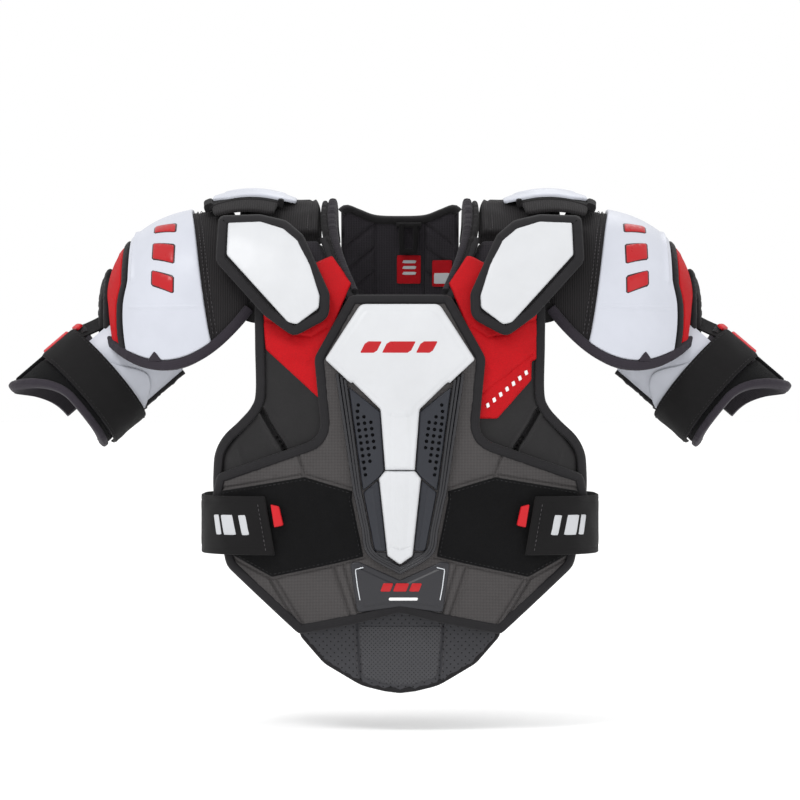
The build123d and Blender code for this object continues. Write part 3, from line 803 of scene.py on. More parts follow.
# ================================================================ camera, light and floor
CAMERA_AT, CAMERA_LENS = (0.0, -3.23, -0.158), 154.8
FLOOR_DROP = 0.035                         # the floor lies this far under the lowest point
LIGHTS_AIM = (0, 0, -0.15)
LIGHTS = (                                 # name, place, watts, size in metres
    ("key", (-1.5, -2.0, 2.8), 46, 1.1), ("fill", (2.4, -2.2, 0.9), 7, 1.8),
          ("rim", (0.6, 2.2, 2.4), 14, 1.6),
)


def stage():
    scene = bpy.context.scene
    camera = bpy.data.objects.new("camera", bpy.data.cameras.new("camera"))
    scene.collection.objects.link(camera)
    camera.location = CAMERA_AT
    camera.rotation_euler = (math.radians(90), 0, 0)
    camera.data.lens = CAMERA_LENS
    camera.data.clip_end = 60
    scene.camera = camera
    scene.view_settings.view_transform = "Standard"
    floor = bpy.data.objects.new("floor", bpy.data.meshes.new("floor"))
    size, z = 40.0, cad_box[0][2] - FLOOR_DROP
    floor.data.from_pydata([(-size, -size, z), (size, -size, z), (size, size, z), (-size, size, z)], [],
                           [(0, 1, 2, 3)])
    mat, _, base, _ = shader("pale_floor", (0.93, 0.93, 0.93), 0.8)
    base.inputs["Emission Color"].default_value = (1, 1, 1, 1)
    base.inputs["Emission Strength"].default_value = 0.22
    floor.data.materials.append(mat)
    scene.collection.objects.link(floor)
    world = bpy.data.worlds.new("studio")
    world.use_nodes = True
    scene.world = world
    world.node_tree.nodes["Background"].inputs[0].default_value = (1.0, 1.0, 1.0, 1)
    world.node_tree.nodes["Background"].inputs[1].default_value = 1.0
    for name, place, power, size in LIGHTS:
        light = bpy.data.lights.new(name, "AREA")
        light.energy, light.size = power, size
        lamp = bpy.data.objects.new(name, light)
        scene.collection.objects.link(lamp)
        lamp.location = place
        lamp.rotation_euler = (Vector(LIGHTS_AIM) - Vector(place)).to_track_quat("-Z", "Y").to_euler()


# ================================================================ vest, front
ARMHOLE_LINE = [(120, -12), (127.2, -62), (127.3, -105), (126.6, -150), (131, -166), (143, -180), (157, -193),
                (164.5, -206), (166.5, -220), (166.3, -244), (160, -268)]
SHIELD_HALF = [
    (45, -63, 8), (77, -120, 14), (70, -192, 20), (167, -226, 7), (171.5, -246, 9),
    (158, -309, 16), (91, -369.5, 7), (38, -359, 18), (0, -349, 12),
]
STERNUM_HALF = [(35.5, -71.5, 8), (67.5, -121.5, 3), (44.5, -143, 0.6), (42.8, -141.8, 0.6),
                (17.5, -166.5, 5), (13.3, -221, 0.8)]
TIP_HALF = [(13.3, -221.6, 0.8), (18.8, -228.5, 2), (11.3, -298, 3), (0, -306, 3)]
LOOP = [
    (43, -240, 1), (86, -227.5, 2), (164, -241, 2), (154, -298, 3), (116, -318, 4), (57, -305, 2),
    (33, -299, 1), (43.5, -247, 1),
]
BADGE_HALF = [(0, -320, 3), (37, -303.5, 3), (45, -304.5, 3), (38.5, -349.5, 4), (0, -344, 8)]


def shrink(outline, amount):
    ring = rounded(outline, 2.0)
    moved = ring + sideways(ring, True) * amount
    return moved[distance(ring, moved, True) > abs(amount) * 0.9]


def line_of(*points, step=2.0):
    return resample(np.array(points, float), step * FINE)


def build_vest_front():
    slot_a = line_of((124, -164), (115, -180), (102, -200), (99, -208))
    slot_b = line_of((129, -170), (120, -185), (110, -202), (106, -209))
    dimples = np.array([(108.5, -196.0), (105.8, -199.6), (103.2, -203.0), (111.0, -192.0)])
    gully = line_of((125, -168), (117, -182), (106, -198), (102, -207))
    panel = pad(
        "left_chest_foam", [(52, -40, 4), (120, -16, 6), (125.5, -60, 15), (125.2, -160, 26), (163, -207, 14),
                            (165, -245, 8), (140, -250, 8), (60, -200, 8), (60, -150, 4)],
        front, 5.3, 11.6, CHEST_SMOOTH, edge=4, grid=3.0, crown=1.2,
        creases=[(slot_a, 3.4, 2.0), (slot_b, 3.0, 1.6), (gully, 3.6, -4.2),
                 (line_of((147, -203), (143, -222)), 2.6, 0.9), (line_of((93, -208), (84, -236)), 3.0, -1.2)],
        holes=[(dimples, 1.7, -1.8)])
    hold(panel, "vest", ["left_chest_panel"], sides=True)
    # red panels: the left one comes lower and has a loose lower band
    left_red = [(44, -52, 1), (62, -26, 3), (92, -40, 4), (124, -52, 4), (125.5, -78, 4), (124.8, -121, 2),
                (119.5, -123, 2), (119, -140, 3), (88, -175, 3), (66, -175, 3), (72, -120, 8)]
    right_red = [(44, -52, 1), (62, -26, 3), (92, -40, 4), (124, -52, 4), (125.5, -78, 4), (122, -112, 3),
                 (74, -156, 3), (64, -152, 3), (72, -120, 8)]
    seam = line_of((66, -92), (80, -101), (96, -99), (112, -88), (126, -84))
    soft = line_of((74, -118), (96, -112), (123, -98))
    for name, outline, nodes, extra in (
        ("left_red_cloth", left_red, ["red_panels"],
         [(line_of((73, -153), (96, -136), (119, -117)), 2.2, -1.1)]),
        ("right_red_cloth", flipped(right_red), [], []),
    ):
        mirror = -1 if name.startswith("right") else 1
        creases = [(seam * (mirror, 1), 2.4, -0.9), (soft * (mirror, 1), 9.0, 0.9)] + extra
        piece = pad(name, outline, front, 10.2, 14.2, RED, edge=2.2, grid=2.8, creases=creases, crown=0.8,
                    swell=lambda q: 0.5 * noise(q, 46, 5))
        hold(puffed(piece, 0.7), "vest", nodes)
    armhole = smooth_path(np.array(ARMHOLE_LINE, float), 2.0)
    neckline = smooth_path(np.array([(44, -66), (53, -50), (63.5, -28), (70.5, -9)], float), 2.0)
    bind = tape("left_armhole_tape", armhole, front, 9.5, 9.2, 5.4, BINDING, closed=False, seed=3, thick=4.0)
    hold(bind, "vest", ["armhole_bindings"], sides=True)
    neck = tape("left_neckline_tape", neckline, front, 9.5, 6.5, 3.4, BINDING, closed=False, seed=4,
                thick=3.0)
    hold(neck, "vest", sides=True)
    # under-lining
    liner = pad("chest_lining", halves([(0.15, -70, 0.3), (47, -70, 3), (66, -28, 8), (76, -12, 4),
            (118, -12, 6), (127, -60, 12), (126, -160, 26), (162, -207, 14), (164, -245, 8),
                    (147, -300, 14), (84, -331, 8)]), front, 0.0, 5.0, LINER, edge=3, grid=6.5,
                creases=[(line_of((0, -80), (0, -325), step=4), 4, -2.0),
                        *[(line_of((s * 46, -90), (s * 52, -200), (s * 60, -318), step=4), 4, -2.0)
                          for s in (1, -1)], *[(line_of((s * 92, -40), (s * 98, -180), (s * 118, -300),
                                                        step=4), 4, -2.0) for s in (1, -1)]])
    hold(liner, "vest", ["chest_liner"])


def build_shield():
    fans = []
    for s in (1, -1):
        fans += [
            (line_of((s * 51, -306), (s * 36.5, -355)), 2.0, -1.7),
            (line_of((s * 59.5, -308), (s * 43, -357.5)), 2.0, -1.7),
            (line_of((s * 62.5, -309), (s * 46, -357.5)), 1.4, 0.8),
            (line_of((s * 112, -320), (s * 86, -363)), 2.0, -1.7),
            (line_of((s * 119, -318), (s * 93.5, -360)), 2.0, -1.7),
            (line_of((s * 121.5, -317), (s * 96.5, -359)), 1.4, 0.7),
            (line_of((s * 92, -207), (s * 85, -227)), 2.2, -1.6),
            (line_of((s * 95.5, -207), (s * 88.5, -227)), 1.5, 0.8),
            (line_of((s * 41, -238), (s * 86, -225.2), (s * 165, -239)), 1.9, -1.4),
            (line_of((s * 31, -300), (s * 57, -307.2), (s * 116, -320.4), (s * 157, -299)), 1.9, -1.4),
            (line_of((s * 70, -140), (s * 64.5, -196), (s * 76, -210), (s * 112, -222)), 4.5, 0.7),
        ]
    shield = pad("front_shield_foam", halves([(41, -66, 8), (72.5, -120.5, 14), (65.5, -194, 20),
            (163, -229, 7), (167, -246, 9), (154, -306, 16), (89.5, -364.5, 7), (38, -354.5, 18),
                    (0, -344.5, 12)]), front, 13.3, 18.8, CHEST, edge=3.5, grid=3.0, creases=fans,
                 crown=1.0, swell=lambda q: 0.25 * noise(q, 30, 8))
    hold(shield, "vest", ["front_shield"])
    middle = shrink(halves(SHIELD_HALF), 4.2)
    bind = tape("shield_tape", middle, front, 14.6, 9.2, 6.0, BINDING, seed=11, thick=1.2, wrinkle=0.06)
    hold(bind, "vest", ["shield_binding"])
    thread = stitches("shield_thread", [(shrink(halves(SHIELD_HALF), 7.4), True, front, 17.2)]
            + [(line_of((s * 55.2, -309), (s * 39.8, -355)), False, front, 18.6) for s in (1, -1)]
                    + [(line_of((s * 115.5, -321), (s * 89.8, -361)), False, front, 18.6) for s in (1, -1)],
                      THREAD_GREY)
    hold(thread, "vest")
    for s, side in SIDES:
        loop = pad(f"{side}_loop_field", on_side(s, LOOP), front, 19.0, 21.6, VELVET, edge=1.6, grid=3.4,
                   swell=lambda q: 0.35 * noise(q, 22, 13))
        hold(loop, "vest", ["loop_fields"] if s > 0 else [])
    thread = stitches("loop_thread", [(shrink(on_side(s, LOOP), 2.2), True, front, 21.5) for s in (1, -1)],
                      THREAD)
    hold(thread, "vest")


def bars(name, surface, centre, angle, sizes, pitch, slant, offset, rise, material, grid=4.0):
    """A generic mark: a row of slanted bars with bevelled edges. sizes are (length, height) pairs."""
    made = []
    c, s = math.cos(angle), math.sin(angle)
    at = -sum(length for length, _ in sizes) / 2 - pitch * (len(sizes) - 1) / 2
    for i, (length, height) in enumerate(sizes):
        box = [(at, -height / 2), (at + length, -height / 2), (at + length, height / 2), (at, height / 2)]
        box = [(x + y * slant, y) for x, y in box]
        box = [(centre[0] + x * c - y * s, centre[1] + x * s + y * c, 0.8) for x, y in box]
        made.append(pad(f"{name}_{i + 1}", box, surface, offset, offset + rise, material, edge=0.8,
                        start=0.2, grid=grid))
        at += length + pitch
    return made


def build_sternum():
    field = rounded(halves([(31.5, -77, 8), (61.5, -121.5, 3), (15.2, -162.5, 5), (11, -172, 4),
                            (0, -174, 4)]), 2.0)
    arch = rounded([(9.6, -222, 0.5), (9.2, -176, 3), (6.5, -168, 3), (0, -165.5, 4), (-6.5, -168, 3),
                    (-9.2, -176, 3), (-9.6, -222, 0.5)], 2.0)
    plate = pad("sternum_shell", halves(STERNUM_HALF), front, 20.3, 26.6, WHITE, edge=2.6, start=0.45,
                grid=2.6, plateaus=[(field, 0.8, 1.6), (arch, 0.9, 2.2)], crown=0.5)
    hold(plate, "vest", ["sternum_plate"])
    ridge = rounded([(8.2, -223, 0.5), (5.8, -291, 1), (0, -295, 2), (-5.8, -291, 1), (-8.2, -223, 0.5)], 2.0)
    tip = pad("sternum_point", halves(TIP_HALF), front, 20.3, 26.4, WHITE, edge=2.4, start=0.4, grid=2.4,
            plateaus=[(ridge, 1.1, 3.2)], creases=[(line_of((-9.5, -290), (0, -293), (9.5, -290)), 1.2,
                                                    -0.5)])
    hold(tip, "vest", ["sternum_tip"])
    rails = []
    for s in (1, -1):
        for k, (x0, x1, x2, x3, zv) in enumerate(((56.6, 41.0, 39.2, 27.9, -313.4),
                (53.0, 38.6, 36.8, 25.9, -311.2), (49.6, 36.2, 34.6, 24.0, -309.2))):
            line = smooth_path(np.array([(s * x0, -134.5 - k * 2.6), (s * (x0 * 0.5 + x1 * 0.5), -187),
                    (s * x1, -239), (s * x2, -247), (s * (x2 * 0.5 + x3 * 0.5), -273), (s * x3, -296.5 + k),
                                         (0, zv)], float), 2.0)
            rails.append((line, k, s))
    for line, k, s in rails:
        side = "left" if s > 0 else "right"
        rail = tape(f"{side}_rail_{k + 1}", line, front, 19.8, 3.0, (5.0, 4.2, 3.6)[k], GLOSS_BLACK,
                    closed=False, wrinkle=0, square=0.5, thick=0.6)
        hold(rail, "vest", ["sternum_frame"] if (k, s) == (0, 1) else [])
    rows = [(37.5, -162.5), (38.2, -168.2), (38.0, -173.9), (37.4, -179.6), (36.6, -185.3), (35.8, -191),
            (35, -196.7), (34.2, -202.4), (33.4, -208.1), (32.6, -213.8), (31.8, -219.5), (31, -225.2)]
    counts = [1, 1, 2, 3, 3, 3, 3, 3, 2, 2, 1, 1]
    for s, side in SIDES:
        spots = np.array([(s * (x - 5.6 * i), z + 0.8 * i) for (x, z), n in zip(rows, counts)
                          for i in range(n)])
        outline = [(46.4, -146, 1), (17.8, -168.5, 2), (14.2, -222, 1), (17.6, -226.5, 0.5),
                   (33.4, -239.8, 1)]
        step = line_of((s * 43.2, -152), (s * 38.6, -186), (s * 31.2, -237))
        vent = pad(f"{side}_vent_shell", on_side(s, outline), front, 19.4, 22.8, VENT, edge=1.2, grid=2.4,
                   holes=[(spots, 1.75, -2.6)], creases=[(step, 1.3, 0.6)])
        hold(vent, "vest", ["vent_plates"] if s > 0 else [])
        shade = pad_discs(f"{side}_vent_shadow", spots, front, 20.35, 1.35, DARK_HOLE)
        hold(shade, "vest")
        lower = [(33.0, -241, 0.5), (19.4, -229.6, 0.5), (12.4, -294, 0.5), (22.8, -294, 0.5)]
        fin = pad(f"{side}_channel_shell", on_side(s, lower), front, 19.4, 21.8, VENT, edge=1.0, grid=2.6,
                  creases=[(line_of((s * 25, -237), (s * 17, -291)), 1.4, 0.7)])
        hold(fin, "vest")
        # Painted shadow: this black gloss piece fills the dark gap under the channel shell, down to the
        # rails' point, where there is only shade.
        foot = [(23.6, -295, 0.5), (12.2, -295, 0.5), (11.8, -299, 1), (1, -307, 1), (1, -309, 1),
                (8, -306.6, 1)]
        gap_shadow_piece = pad(f"{side}_channel_toe", on_side(s, foot), front, 19.4, 21.2, GLOSS_BLACK, edge=0.8, grid=2.6)
        hold(gap_shadow_piece, "vest")
    # generic mark: three slanted bars with a dark edge
    for piece in bars("sternum_mark", front, (-1, -110.5), 0, [(15, 11), (26, 11), (15, 11)], 4.5, 0.5,
                      26.8, 1.3, MARK_RED):
        hold(piece, "vest")
    for piece in bars("sternum_mark_edge", front, (-1, -110.5), 0,
                      [(17.6, 13.4), (28.6, 13.4), (17.6, 13.4)], 1.9, 0.5, 26.6, 0.8, MARK_DARK):
        hold(piece, "vest")


def pad_discs(name, centres, surface, offset, radius, material):
    verts, faces, cloth = [], [], []
    turn = np.arange(8) * math.pi / 4
    for c in centres:
        ring = c + radius * np.stack([np.cos(turn), np.sin(turn)], -1)
        for d in (0.0, 0.25):
            verts.append(surface(ring[:, 0], ring[:, 1], offset + d))
            cloth.append(ring)
    for i in range(len(centres)):
        a = i * 16
        faces.append(tuple(a + k for k in range(7, -1, -1)))
        faces.append(tuple(a + 8 + k for k in range(8)))
        faces += [(a + k, a + (k + 1) % 8, a + 8 + (k + 1) % 8, a + 8 + k) for k in range(8)]
    return make_object(name, np.vstack(verts), faces, np.vstack(cloth), material)


def build_badge():
    outline = halves(BADGE_HALF)
    raised = rounded(halves([(0, -325.5, 3), (36, -309, 3), (41, -310, 2.5), (35.5, -345, 4),
                             (0, -340, 8)]), 2.0)
    badge = pad("name_plate", outline, front, 18.6, 21.2, BADGE, edge=1.6, grid=2.6,
                plateaus=[(raised, 1.2, 1.5)])
    hold(badge, "vest", ["name_badge"])
    for s, side in SIDES:
        line = line_of((s * 33, -308.6), (s * 40.2, -310.4), (s * 38.2, -326), (s * 36, -338), step=1.2)
        edge = tape(f"{side}_plate_edge", line, front, 22.2, 1.0, 0.5, BRIGHT, closed=False, wrinkle=0,
                    thick=0.3)
        hold(edge, "vest")
    for piece in bars("plate_mark", front, (1, -326.5), 0.0, [(9, 7.5), (12, 7.5), (9, 7.5)], 2.4, 0.4,
                      22.3, 0.7, MARK_RED):
        hold(piece, "vest")
    for piece in bars("plate_line", front, (3, -337), 0.0, [(26, 2.6)], 1.0, 0.4, 22.3, 0.5, MARK_WHITE):
        hold(piece, "vest")
    # the red band's marks: small slanted ticks instead of a name
    a, b = np.array((79.0, -163.0)), np.array((114.0, -133.5))
    for i in range(7):
        at = a + (b - a) * i / 6
        tick = [(-2.0, -1.9, 0.3), (1.3, -1.9, 0.3), (2.6, 1.9, 0.3), (-0.7, 1.9, 0.3)]
        c, s = math.cos(0.70), math.sin(0.70)
        shape = [(at[0] + x * c - y * s, at[1] + x * s + y * c, r) for x, y, r in tick]
        mark = pad(f"band_tick_{i + 1}", shape, front, 14.8, 16.4, MARK_WHITE, edge=0.4, start=0.5, grid=3)
        hold(mark, "vest")


# ================================================================ over the shoulders and round the neck
YOKE_FRONT = 156.4        # where a yoke starts on the arch, at the chest panel's top edge
YOKE_BACK = HALF_TURN - YOKE_FRONT
ROLL_START, ROLL_END = 79.4, 332.7
LOOP_X = 8.5              # middle of the hanger loops and of the label below them


def build_yokes():
    ends = [(74.5, YOKE_FRONT - 2, 4), (148, YOKE_FRONT - 2, 8), (149.5, 245, 20), (148, YOKE_BACK + 2, 8),
            (74.5, YOKE_BACK + 2, 4)]
    seams = [(line_of((x, YOKE_FRONT + 3), (x, YOKE_BACK - 3)), 2.6, -1.3) for x in (82.0, 139.0)]
    piece = pad("left_yoke_cover", ends, yoke, 0.0, 9.2, RIBBED, edge=4, grid=3.6, creases=seams, crown=0.6,
            swell=lambda q: 0.5 * noise(q, 40, 21) + 4.6 * np.exp(-(((q[:, 1] - HALF_TURN / 2) / 42) ** 2)))
    hold(piece, "vest", ["yokes"], sides=True)
    runs = [(line_of((x, YOKE_FRONT + 3), (x, YOKE_BACK - 3)), False, yoke, 9.4) for x in (84.6, 136.6)]
    hold(stitches("left_yoke_thread", runs, THREAD_GREY), "vest", sides=True)


def build_collar():
    outer = tape("left_collar_outer_roll", line_of((8.2, ROLL_START), (8.2, ROLL_END)), collar, 0.5, 5.2,
                 12.2, SOFT_BLACK, closed=False, square=0.7, seed=31)
    hold(outer, "vest", ["collar_rolls"], sides=True)
    inner = tape("left_collar_inner_roll", line_of((2.9, ROLL_START + 2), (2.9, ROLL_END)), collar, 0.5,
                 7.4, 13.2, LINER, closed=False, square=0.62, seed=33, wrinkle=0.07)
    hold(inner, "vest", sides=True)
    runs = [(line_of((6.0, ROLL_START + 4), (6.0, ROLL_END - 4)), False, collar, 10.6)]
    hold(stitches("left_collar_thread", runs, THREAD_GREY), "vest", sides=True)


def neck_face(x, z, d):
    """The neck wall's inner face, lifted towards the wearer's neck."""
    return wall(x, z, -np.asarray(d, float))


def build_back_collar():
    quilting = [(line_of((s * 23.5, -57), (s * 23.5, 14)), 2.4, -1.8) for s in (1, -1)]
    for s in (1, -1):
        for z in (-44, -22, 0):
            quilting.append((line_of((s * 52, z - 12), (s * 25.5, z + 9)), 2.8, -2.2))
    outline = halves([(54, -60, 2), (54, 23, 4), (49, 25.5, 5), (38, 21, 8), (23, 15.5, 8), (0, 15, 3)])
    piece = pad("back_collar_wall", outline, neck_face, -6.0, -0.4, LINER, edge=3, grid=2.8,
                creases=quilting, crown=0.6)
    hold(piece, "vest", ["back_collar"])
    top = smooth_path(np.array([(-54, 20), (-49, 23.5), (-38, 19.5), (-23, 14.2), (0, 13.2), (23, 14.2),
                                (38, 19.5), (49, 23.5), (54, 20)], float), 2.0)
    rolled = tape("back_collar_roll", top, neck_face, -6.0, 7.5, 7.2, SOFT_BLACK, closed=False, seed=35,
                  thick=1.5)
    hold(rolled, "vest")
    label = [(LOOP_X + a, z, 0.6) for a, z in ((-11.5, -46), (11.5, -46), (11.5, -19), (-11.5, -19))]
    hold(pad("neck_label", label, neck_face, 0.4, 1.2, LABEL, edge=0.8, grid=2.5), "vest",
         ["neck_labels"])
    side = [(31, -49, 0.6), (50, -49, 0.6), (50, -24, 0.6), (31, -24, 0.6)]
    hold(pad("side_label", side, neck_face, 0.4, 1.2, LABEL, edge=0.8, grid=2.5), "vest")
    for k, z in enumerate((-25.0, -30.5, -36.0)):
        box = [(LOOP_X + a, z + b, 0.4) for a, b in ((-6.5, -1.4), (6.5, -1.4), (7.6, 1.4), (-5.4, 1.4))]
        hold(pad(f"neck_label_bar_{k + 1}", box, neck_face, 1.2, 1.6, MARK_GREY, edge=0.4, grid=3), "vest")
    box = [(33, -46, 0.4), (48, -46, 0.4), (48, -36, 0.4), (33, -36, 0.4)]
    hold(pad("side_label_field", box, neck_face, 1.2, 1.6, MARK_GREY, edge=0.4, grid=3), "vest")
    for k, x in enumerate((-7.2, 7.2)):
        band = tape(f"hanger_band_{k + 1}", line_of((LOOP_X + x, 12), (LOOP_X + x * 0.98, -6),
                (LOOP_X + x * 0.8, -16)), neck_face, 4.4, 5.2, 2.0, WEBBING, closed=False, seed=37 + k,
                    thick=0.6)
        hold(band, "vest", ["hanger_loop"] if k == 0 else [])
    foot = tape("hanger_foot", line_of((LOOP_X - 9, -14.5), (LOOP_X + 9, -14.5)), neck_face, 4.4, 5.0, 2.0,
                WEBBING, closed=False, seed=39, thick=0.6)
    hold(foot, "vest")
    root = tape("hanger_root", line_of((LOOP_X - 12, 10), (LOOP_X + 12, 10)), neck_face, 0.3, 5.0, 5.8,
                WEBBING, closed=False, seed=40, thick=0.2)
    hold(root, "vest")


# ================================================================ vest, back
BACK_HALF = [
    (0, -54, 0.3), (58, -54, 4), (75, -8, 3), (120, -8, 8), (130, -60, 14), (127, -150, 26),
    (160, -200, 14), (163, -250, 10), (140, -304, 18), (60, -322, 10), (0, -316, 0.3),
]
SCAPULA = [(40, -72, 6), (78, -24, 6), (112, -26, 6), (119, -70, 8), (116, -150, 10), (84, -186, 8),
           (40, -160, 6)]
LUMBAR = [(30, -246, 4), (122, -222, 8), (138, -250, 8), (122, -292, 12), (56, -306, 8), (26, -296, 3)]
SPINE = [
    [(24, -66, 5), (34, -100, 4), (24, -134, 3)], [(22.5, -136, 3), (30, -160, 4), (21, -186, 3)],
    [(20, -188, 3), (27, -210, 4), (18.5, -234, 3)], [(17.5, -236, 3), (23, -256, 4), (13, -282, 5)],
]


def build_back():
    quilting = [(line_of((s * x, -70), (s * (x + 8), -300), step=4), 4, -2.0) for s in (1, -1)
                for x in (30, 74)]
    liner = pad("back_lining", shrink(halves(BACK_HALF), 3.5), back, 0.0, 4.8, LINER, edge=3, grid=6.5,
                creases=quilting)
    hold(liner, "vest", ["back_liner"])
    ribs = []
    for s in (1, -1):
        ribs += [(line_of((s * 122, -70), (s * 120, -160), (s * 148, -214)), 2.4, -1.5),
                 (line_of((s * 34, -196), (s * 84, -208), (s * 150, -204)), 2.4, -1.5),
                 (line_of((s * 34, -214), (s * 90, -222), (s * 156, -216)), 2.4, -1.5)]
    panel = pad("back_foam", shrink(halves(BACK_HALF), 4.0), back, 5.3, 12.6, CHEST, edge=4, grid=3.6,
                creases=ribs, crown=0.8)
    hold(panel, "vest", ["back_panel"])
    edge = shrink(halves(BACK_HALF), 4.4)
    hold(tape("back_tape", edge, back, 7.6, 9.2, 6.0, BINDING, seed=41, thick=2.2), "vest",
         ["back_binding"])
    field = [(48, -80, 5), (80, -34, 5), (106, -36, 5), (111, -72, 7), (108, -144, 8), (84, -172, 7),
             (48, -150, 5)]
    plate = pad("left_scapula_shell", SCAPULA, back, 13.8, 18.2, WHITE, edge=2.4, grid=3.0,
                plateaus=[(rounded(field), 0.9, 2.0)])
    hold(plate, "vest", ["scapula_plates"], sides=True)
    ribs = [(line_of((36 + k * 22, -248 + 1 - k * 4), (40 + k * 20, -300 + k * 4)), 2.4, -1.6)
            for k in range(1, 4)]
    lumbar = pad("left_lumbar_foam", LUMBAR, back, 13.8, 18.6, CHEST, edge=4, grid=3.0, creases=ribs,
                 crown=0.8)
    hold(puffed(lumbar, 2.0), "vest", ["lumbar_pads"], sides=True)
    for k, half in enumerate(SPINE):
        top, middle, low = half
        inner = halves([(top[0] * 0.62, top[1] - 6, 4), (middle[0] * 0.64, middle[1], 4),
                        (low[0] * 0.62, low[1] + 6, 4)])
        guard = pad(f"spine_segment_{k + 1}", halves(half), back, 13.8, 24.0, GLOSS_BLACK, edge=6.0, grid=2.8,
                    plateaus=[(rounded(inner), 1.8, 2.6)])
        hold(guard, "vest", ["spine_guard"] if k == 0 else [])


# ================================================================ moving pieces
def build_belly_pad():
    outline = halves([(84, -334, 4), (92, -371, 10), (69, -397, 22), (35, -417, 40), (0, -425.5, 60)])
    seams = [(line_of((s * 39.5, -350), (s * 39, -368), (s * 35.5, -412)), 2.2, -1.5) for s in (1, -1)]
    piece = pad("belly_foam", outline, front, -3.5, 3.4, PERFORATED_WIDE, edge=4, grid=2.8, creases=seams,
                crown=0.6)
    hold(piece, "belly_pad_body", ["belly_pad"])
    middle = halves([(37.6, -362, 2), (36.8, -376, 2), (33.4, -409.5, 8), (0, -418.5, 40)])
    mesh = pad("belly_mesh", middle, front, 2.6, 4.4, PERFORATED, edge=1.4, grid=3.0)
    hold(puffed(mesh, 1.6), "belly_pad_body")
    edge = shrink(outline, 2.6)
    hold(tape("belly_tape", edge, front, -2.0, 5.4, 5.4, BINDING, seed=43, thick=1.2), "belly_pad_body")
    runs = [(line_of((s * x, -352), (s * (x - 0.5), -368), (s * (x - 4), -410)), False, front, 4.0)
            for s in (1, -1) for x in (41.8, 37.0)]
    hold(stitches("belly_thread", runs, THREAD_GREY), "belly_pad_body")


CLAVICLE_HALF = [
    (88, -8, 6), (104, 6, 8), (128, 12, 14), (166, 11, 4), (167.5, -32, 12), (122, -82, 8),
    (96, -101, 10), (64, -84, 14), (63.5, -62, 12),
]
CLAVICLE_WHITE = [
    (157, 4, 1.5), (127, 5, 10), (106, -2, 5), (93, -13, 4), (81, -36, 10), (72.5, -64, 5), (73, -75, 5),
    (93, -90, 5),
    (101, -88, 5), (157.5, -26, 5),
]


def build_clavicles():
    piece = pad("left_clavicle_foam", CLAVICLE_HALF, clavicle, 0.0, 6.4, SOFT_BLACK, edge=4, grid=3.2,
                crown=0.4)
    hold(piece, "left_clavicle", ["left_clavicle_pad"], sides=True)
    cap = pad("left_clavicle_shell", CLAVICLE_WHITE, clavicle, 6.2, 10.6, WHITE, edge=2.0, start=0.45,
              grid=3.0, crown=0.6, swell=lambda q: 0.30 * noise(q, 48, 45))
    hold(cap, "left_clavicle", ["left_clavicle_cap"], sides=True)
    rim = shrink(CLAVICLE_HALF, 4.4)
    hold(tape("left_clavicle_tape", rim, clavicle, 4.6, 9.2, 5.2, BINDING, seed=47, thick=2.6),
         "left_clavicle", sides=True)
    runs = [(shrink(CLAVICLE_HALF, 8.6), True, clavicle, 7.4)]
    hold(stitches("left_clavicle_thread", runs, THREAD), "left_clavicle", sides=True)


def build_top_caps():
    outline = [(108, -44, 8), (181, -42, 8), (183, 0, 30), (181, 42, 8), (108, 44, 8)]
    piece = pad("left_top_cap_foam", outline, top_cap, -4.2, -0.4, SOFT_BLACK, edge=2.5, grid=3.4)
    hold(piece, "left_top_cap_body", ["left_top_cap_pad"], sides=True)
    shell = [(97, -30, 8), (112, -38, 6), (160, -38, 8), (174, -28, 6), (174, 28, 6), (160, 38, 8),
             (112, 38, 6), (97, 30, 8)]
    facet = rounded([(106, -20, 4), (120, -27, 4), (150, -27, 4), (164, -19, 4), (164, 19, 4), (150, 27, 4),
                     (120, 27, 4), (106, 20, 4)])
    cap = pad("left_top_cap_shell", shell, top_cap, 0.0, 2.9, CAP_WHITE, edge=2.0, start=0.45, grid=3.0,
              plateaus=[(facet, 0.9, 3.0)])
    hold(cap, "left_top_cap_body", ["left_top_cap"], sides=True)
    for name, line, width in (("end_roll", [(177.5, -41), (179.6, 0), (177.5, 41)], 9.0),
                              ("neck_roll", [(110.5, -42), (110.5, 42)], 6.0)):
        path = smooth_path(np.array(line, float), 2.0)
        hold(tape(f"left_top_cap_{name}", path, top_cap, -3.4, width, 5.6, SOFT_BLACK, closed=False,
                  seed=51, thick=1.6), "left_top_cap_body", sides=True)


def build_aprons():
    """Ribbed cloth that falls from each top cap's front edge to the collarbone cap."""
    shape = [(112, -40, 4), (176, -40, 6), (172, -62, 8), (116, -66, 8)]
    piece = pad("left_top_cap_apron", shape, top_cap, -4.0, -1.2, RIBBED, edge=2.0, grid=3.6)
    hold(piece, "left_top_cap_body", sides=True)


RIM_Z, RIM_MIDDLE, RIM_BEND = -131.0, 216.0, 0.0085     # lowest point of the lower border, and its curve
RIM_BACK_RISE = 22.0                                    # how much higher the border is behind


def rim_w(x):
    """Wrap of a shoulder cap's lower border in front."""
    return RIM_Z + RIM_BEND * (x - RIM_MIDDLE) ** 2 - DOME[2]


def rim_back_w(x):
    return DOME_TURN - rim_w(x) - RIM_BACK_RISE


def on_dome(x, z):
    """The dome coordinates of a point of its front half, from its x and z."""
    s = dome_s(x)
    if z <= DOME[2]:
        return (s, z - DOME[2])
    return (s, DOME_Z * math.asin(min(0.99, (z - DOME[2]) / (DOME_Z * math.cos(s / DOME_X)))))


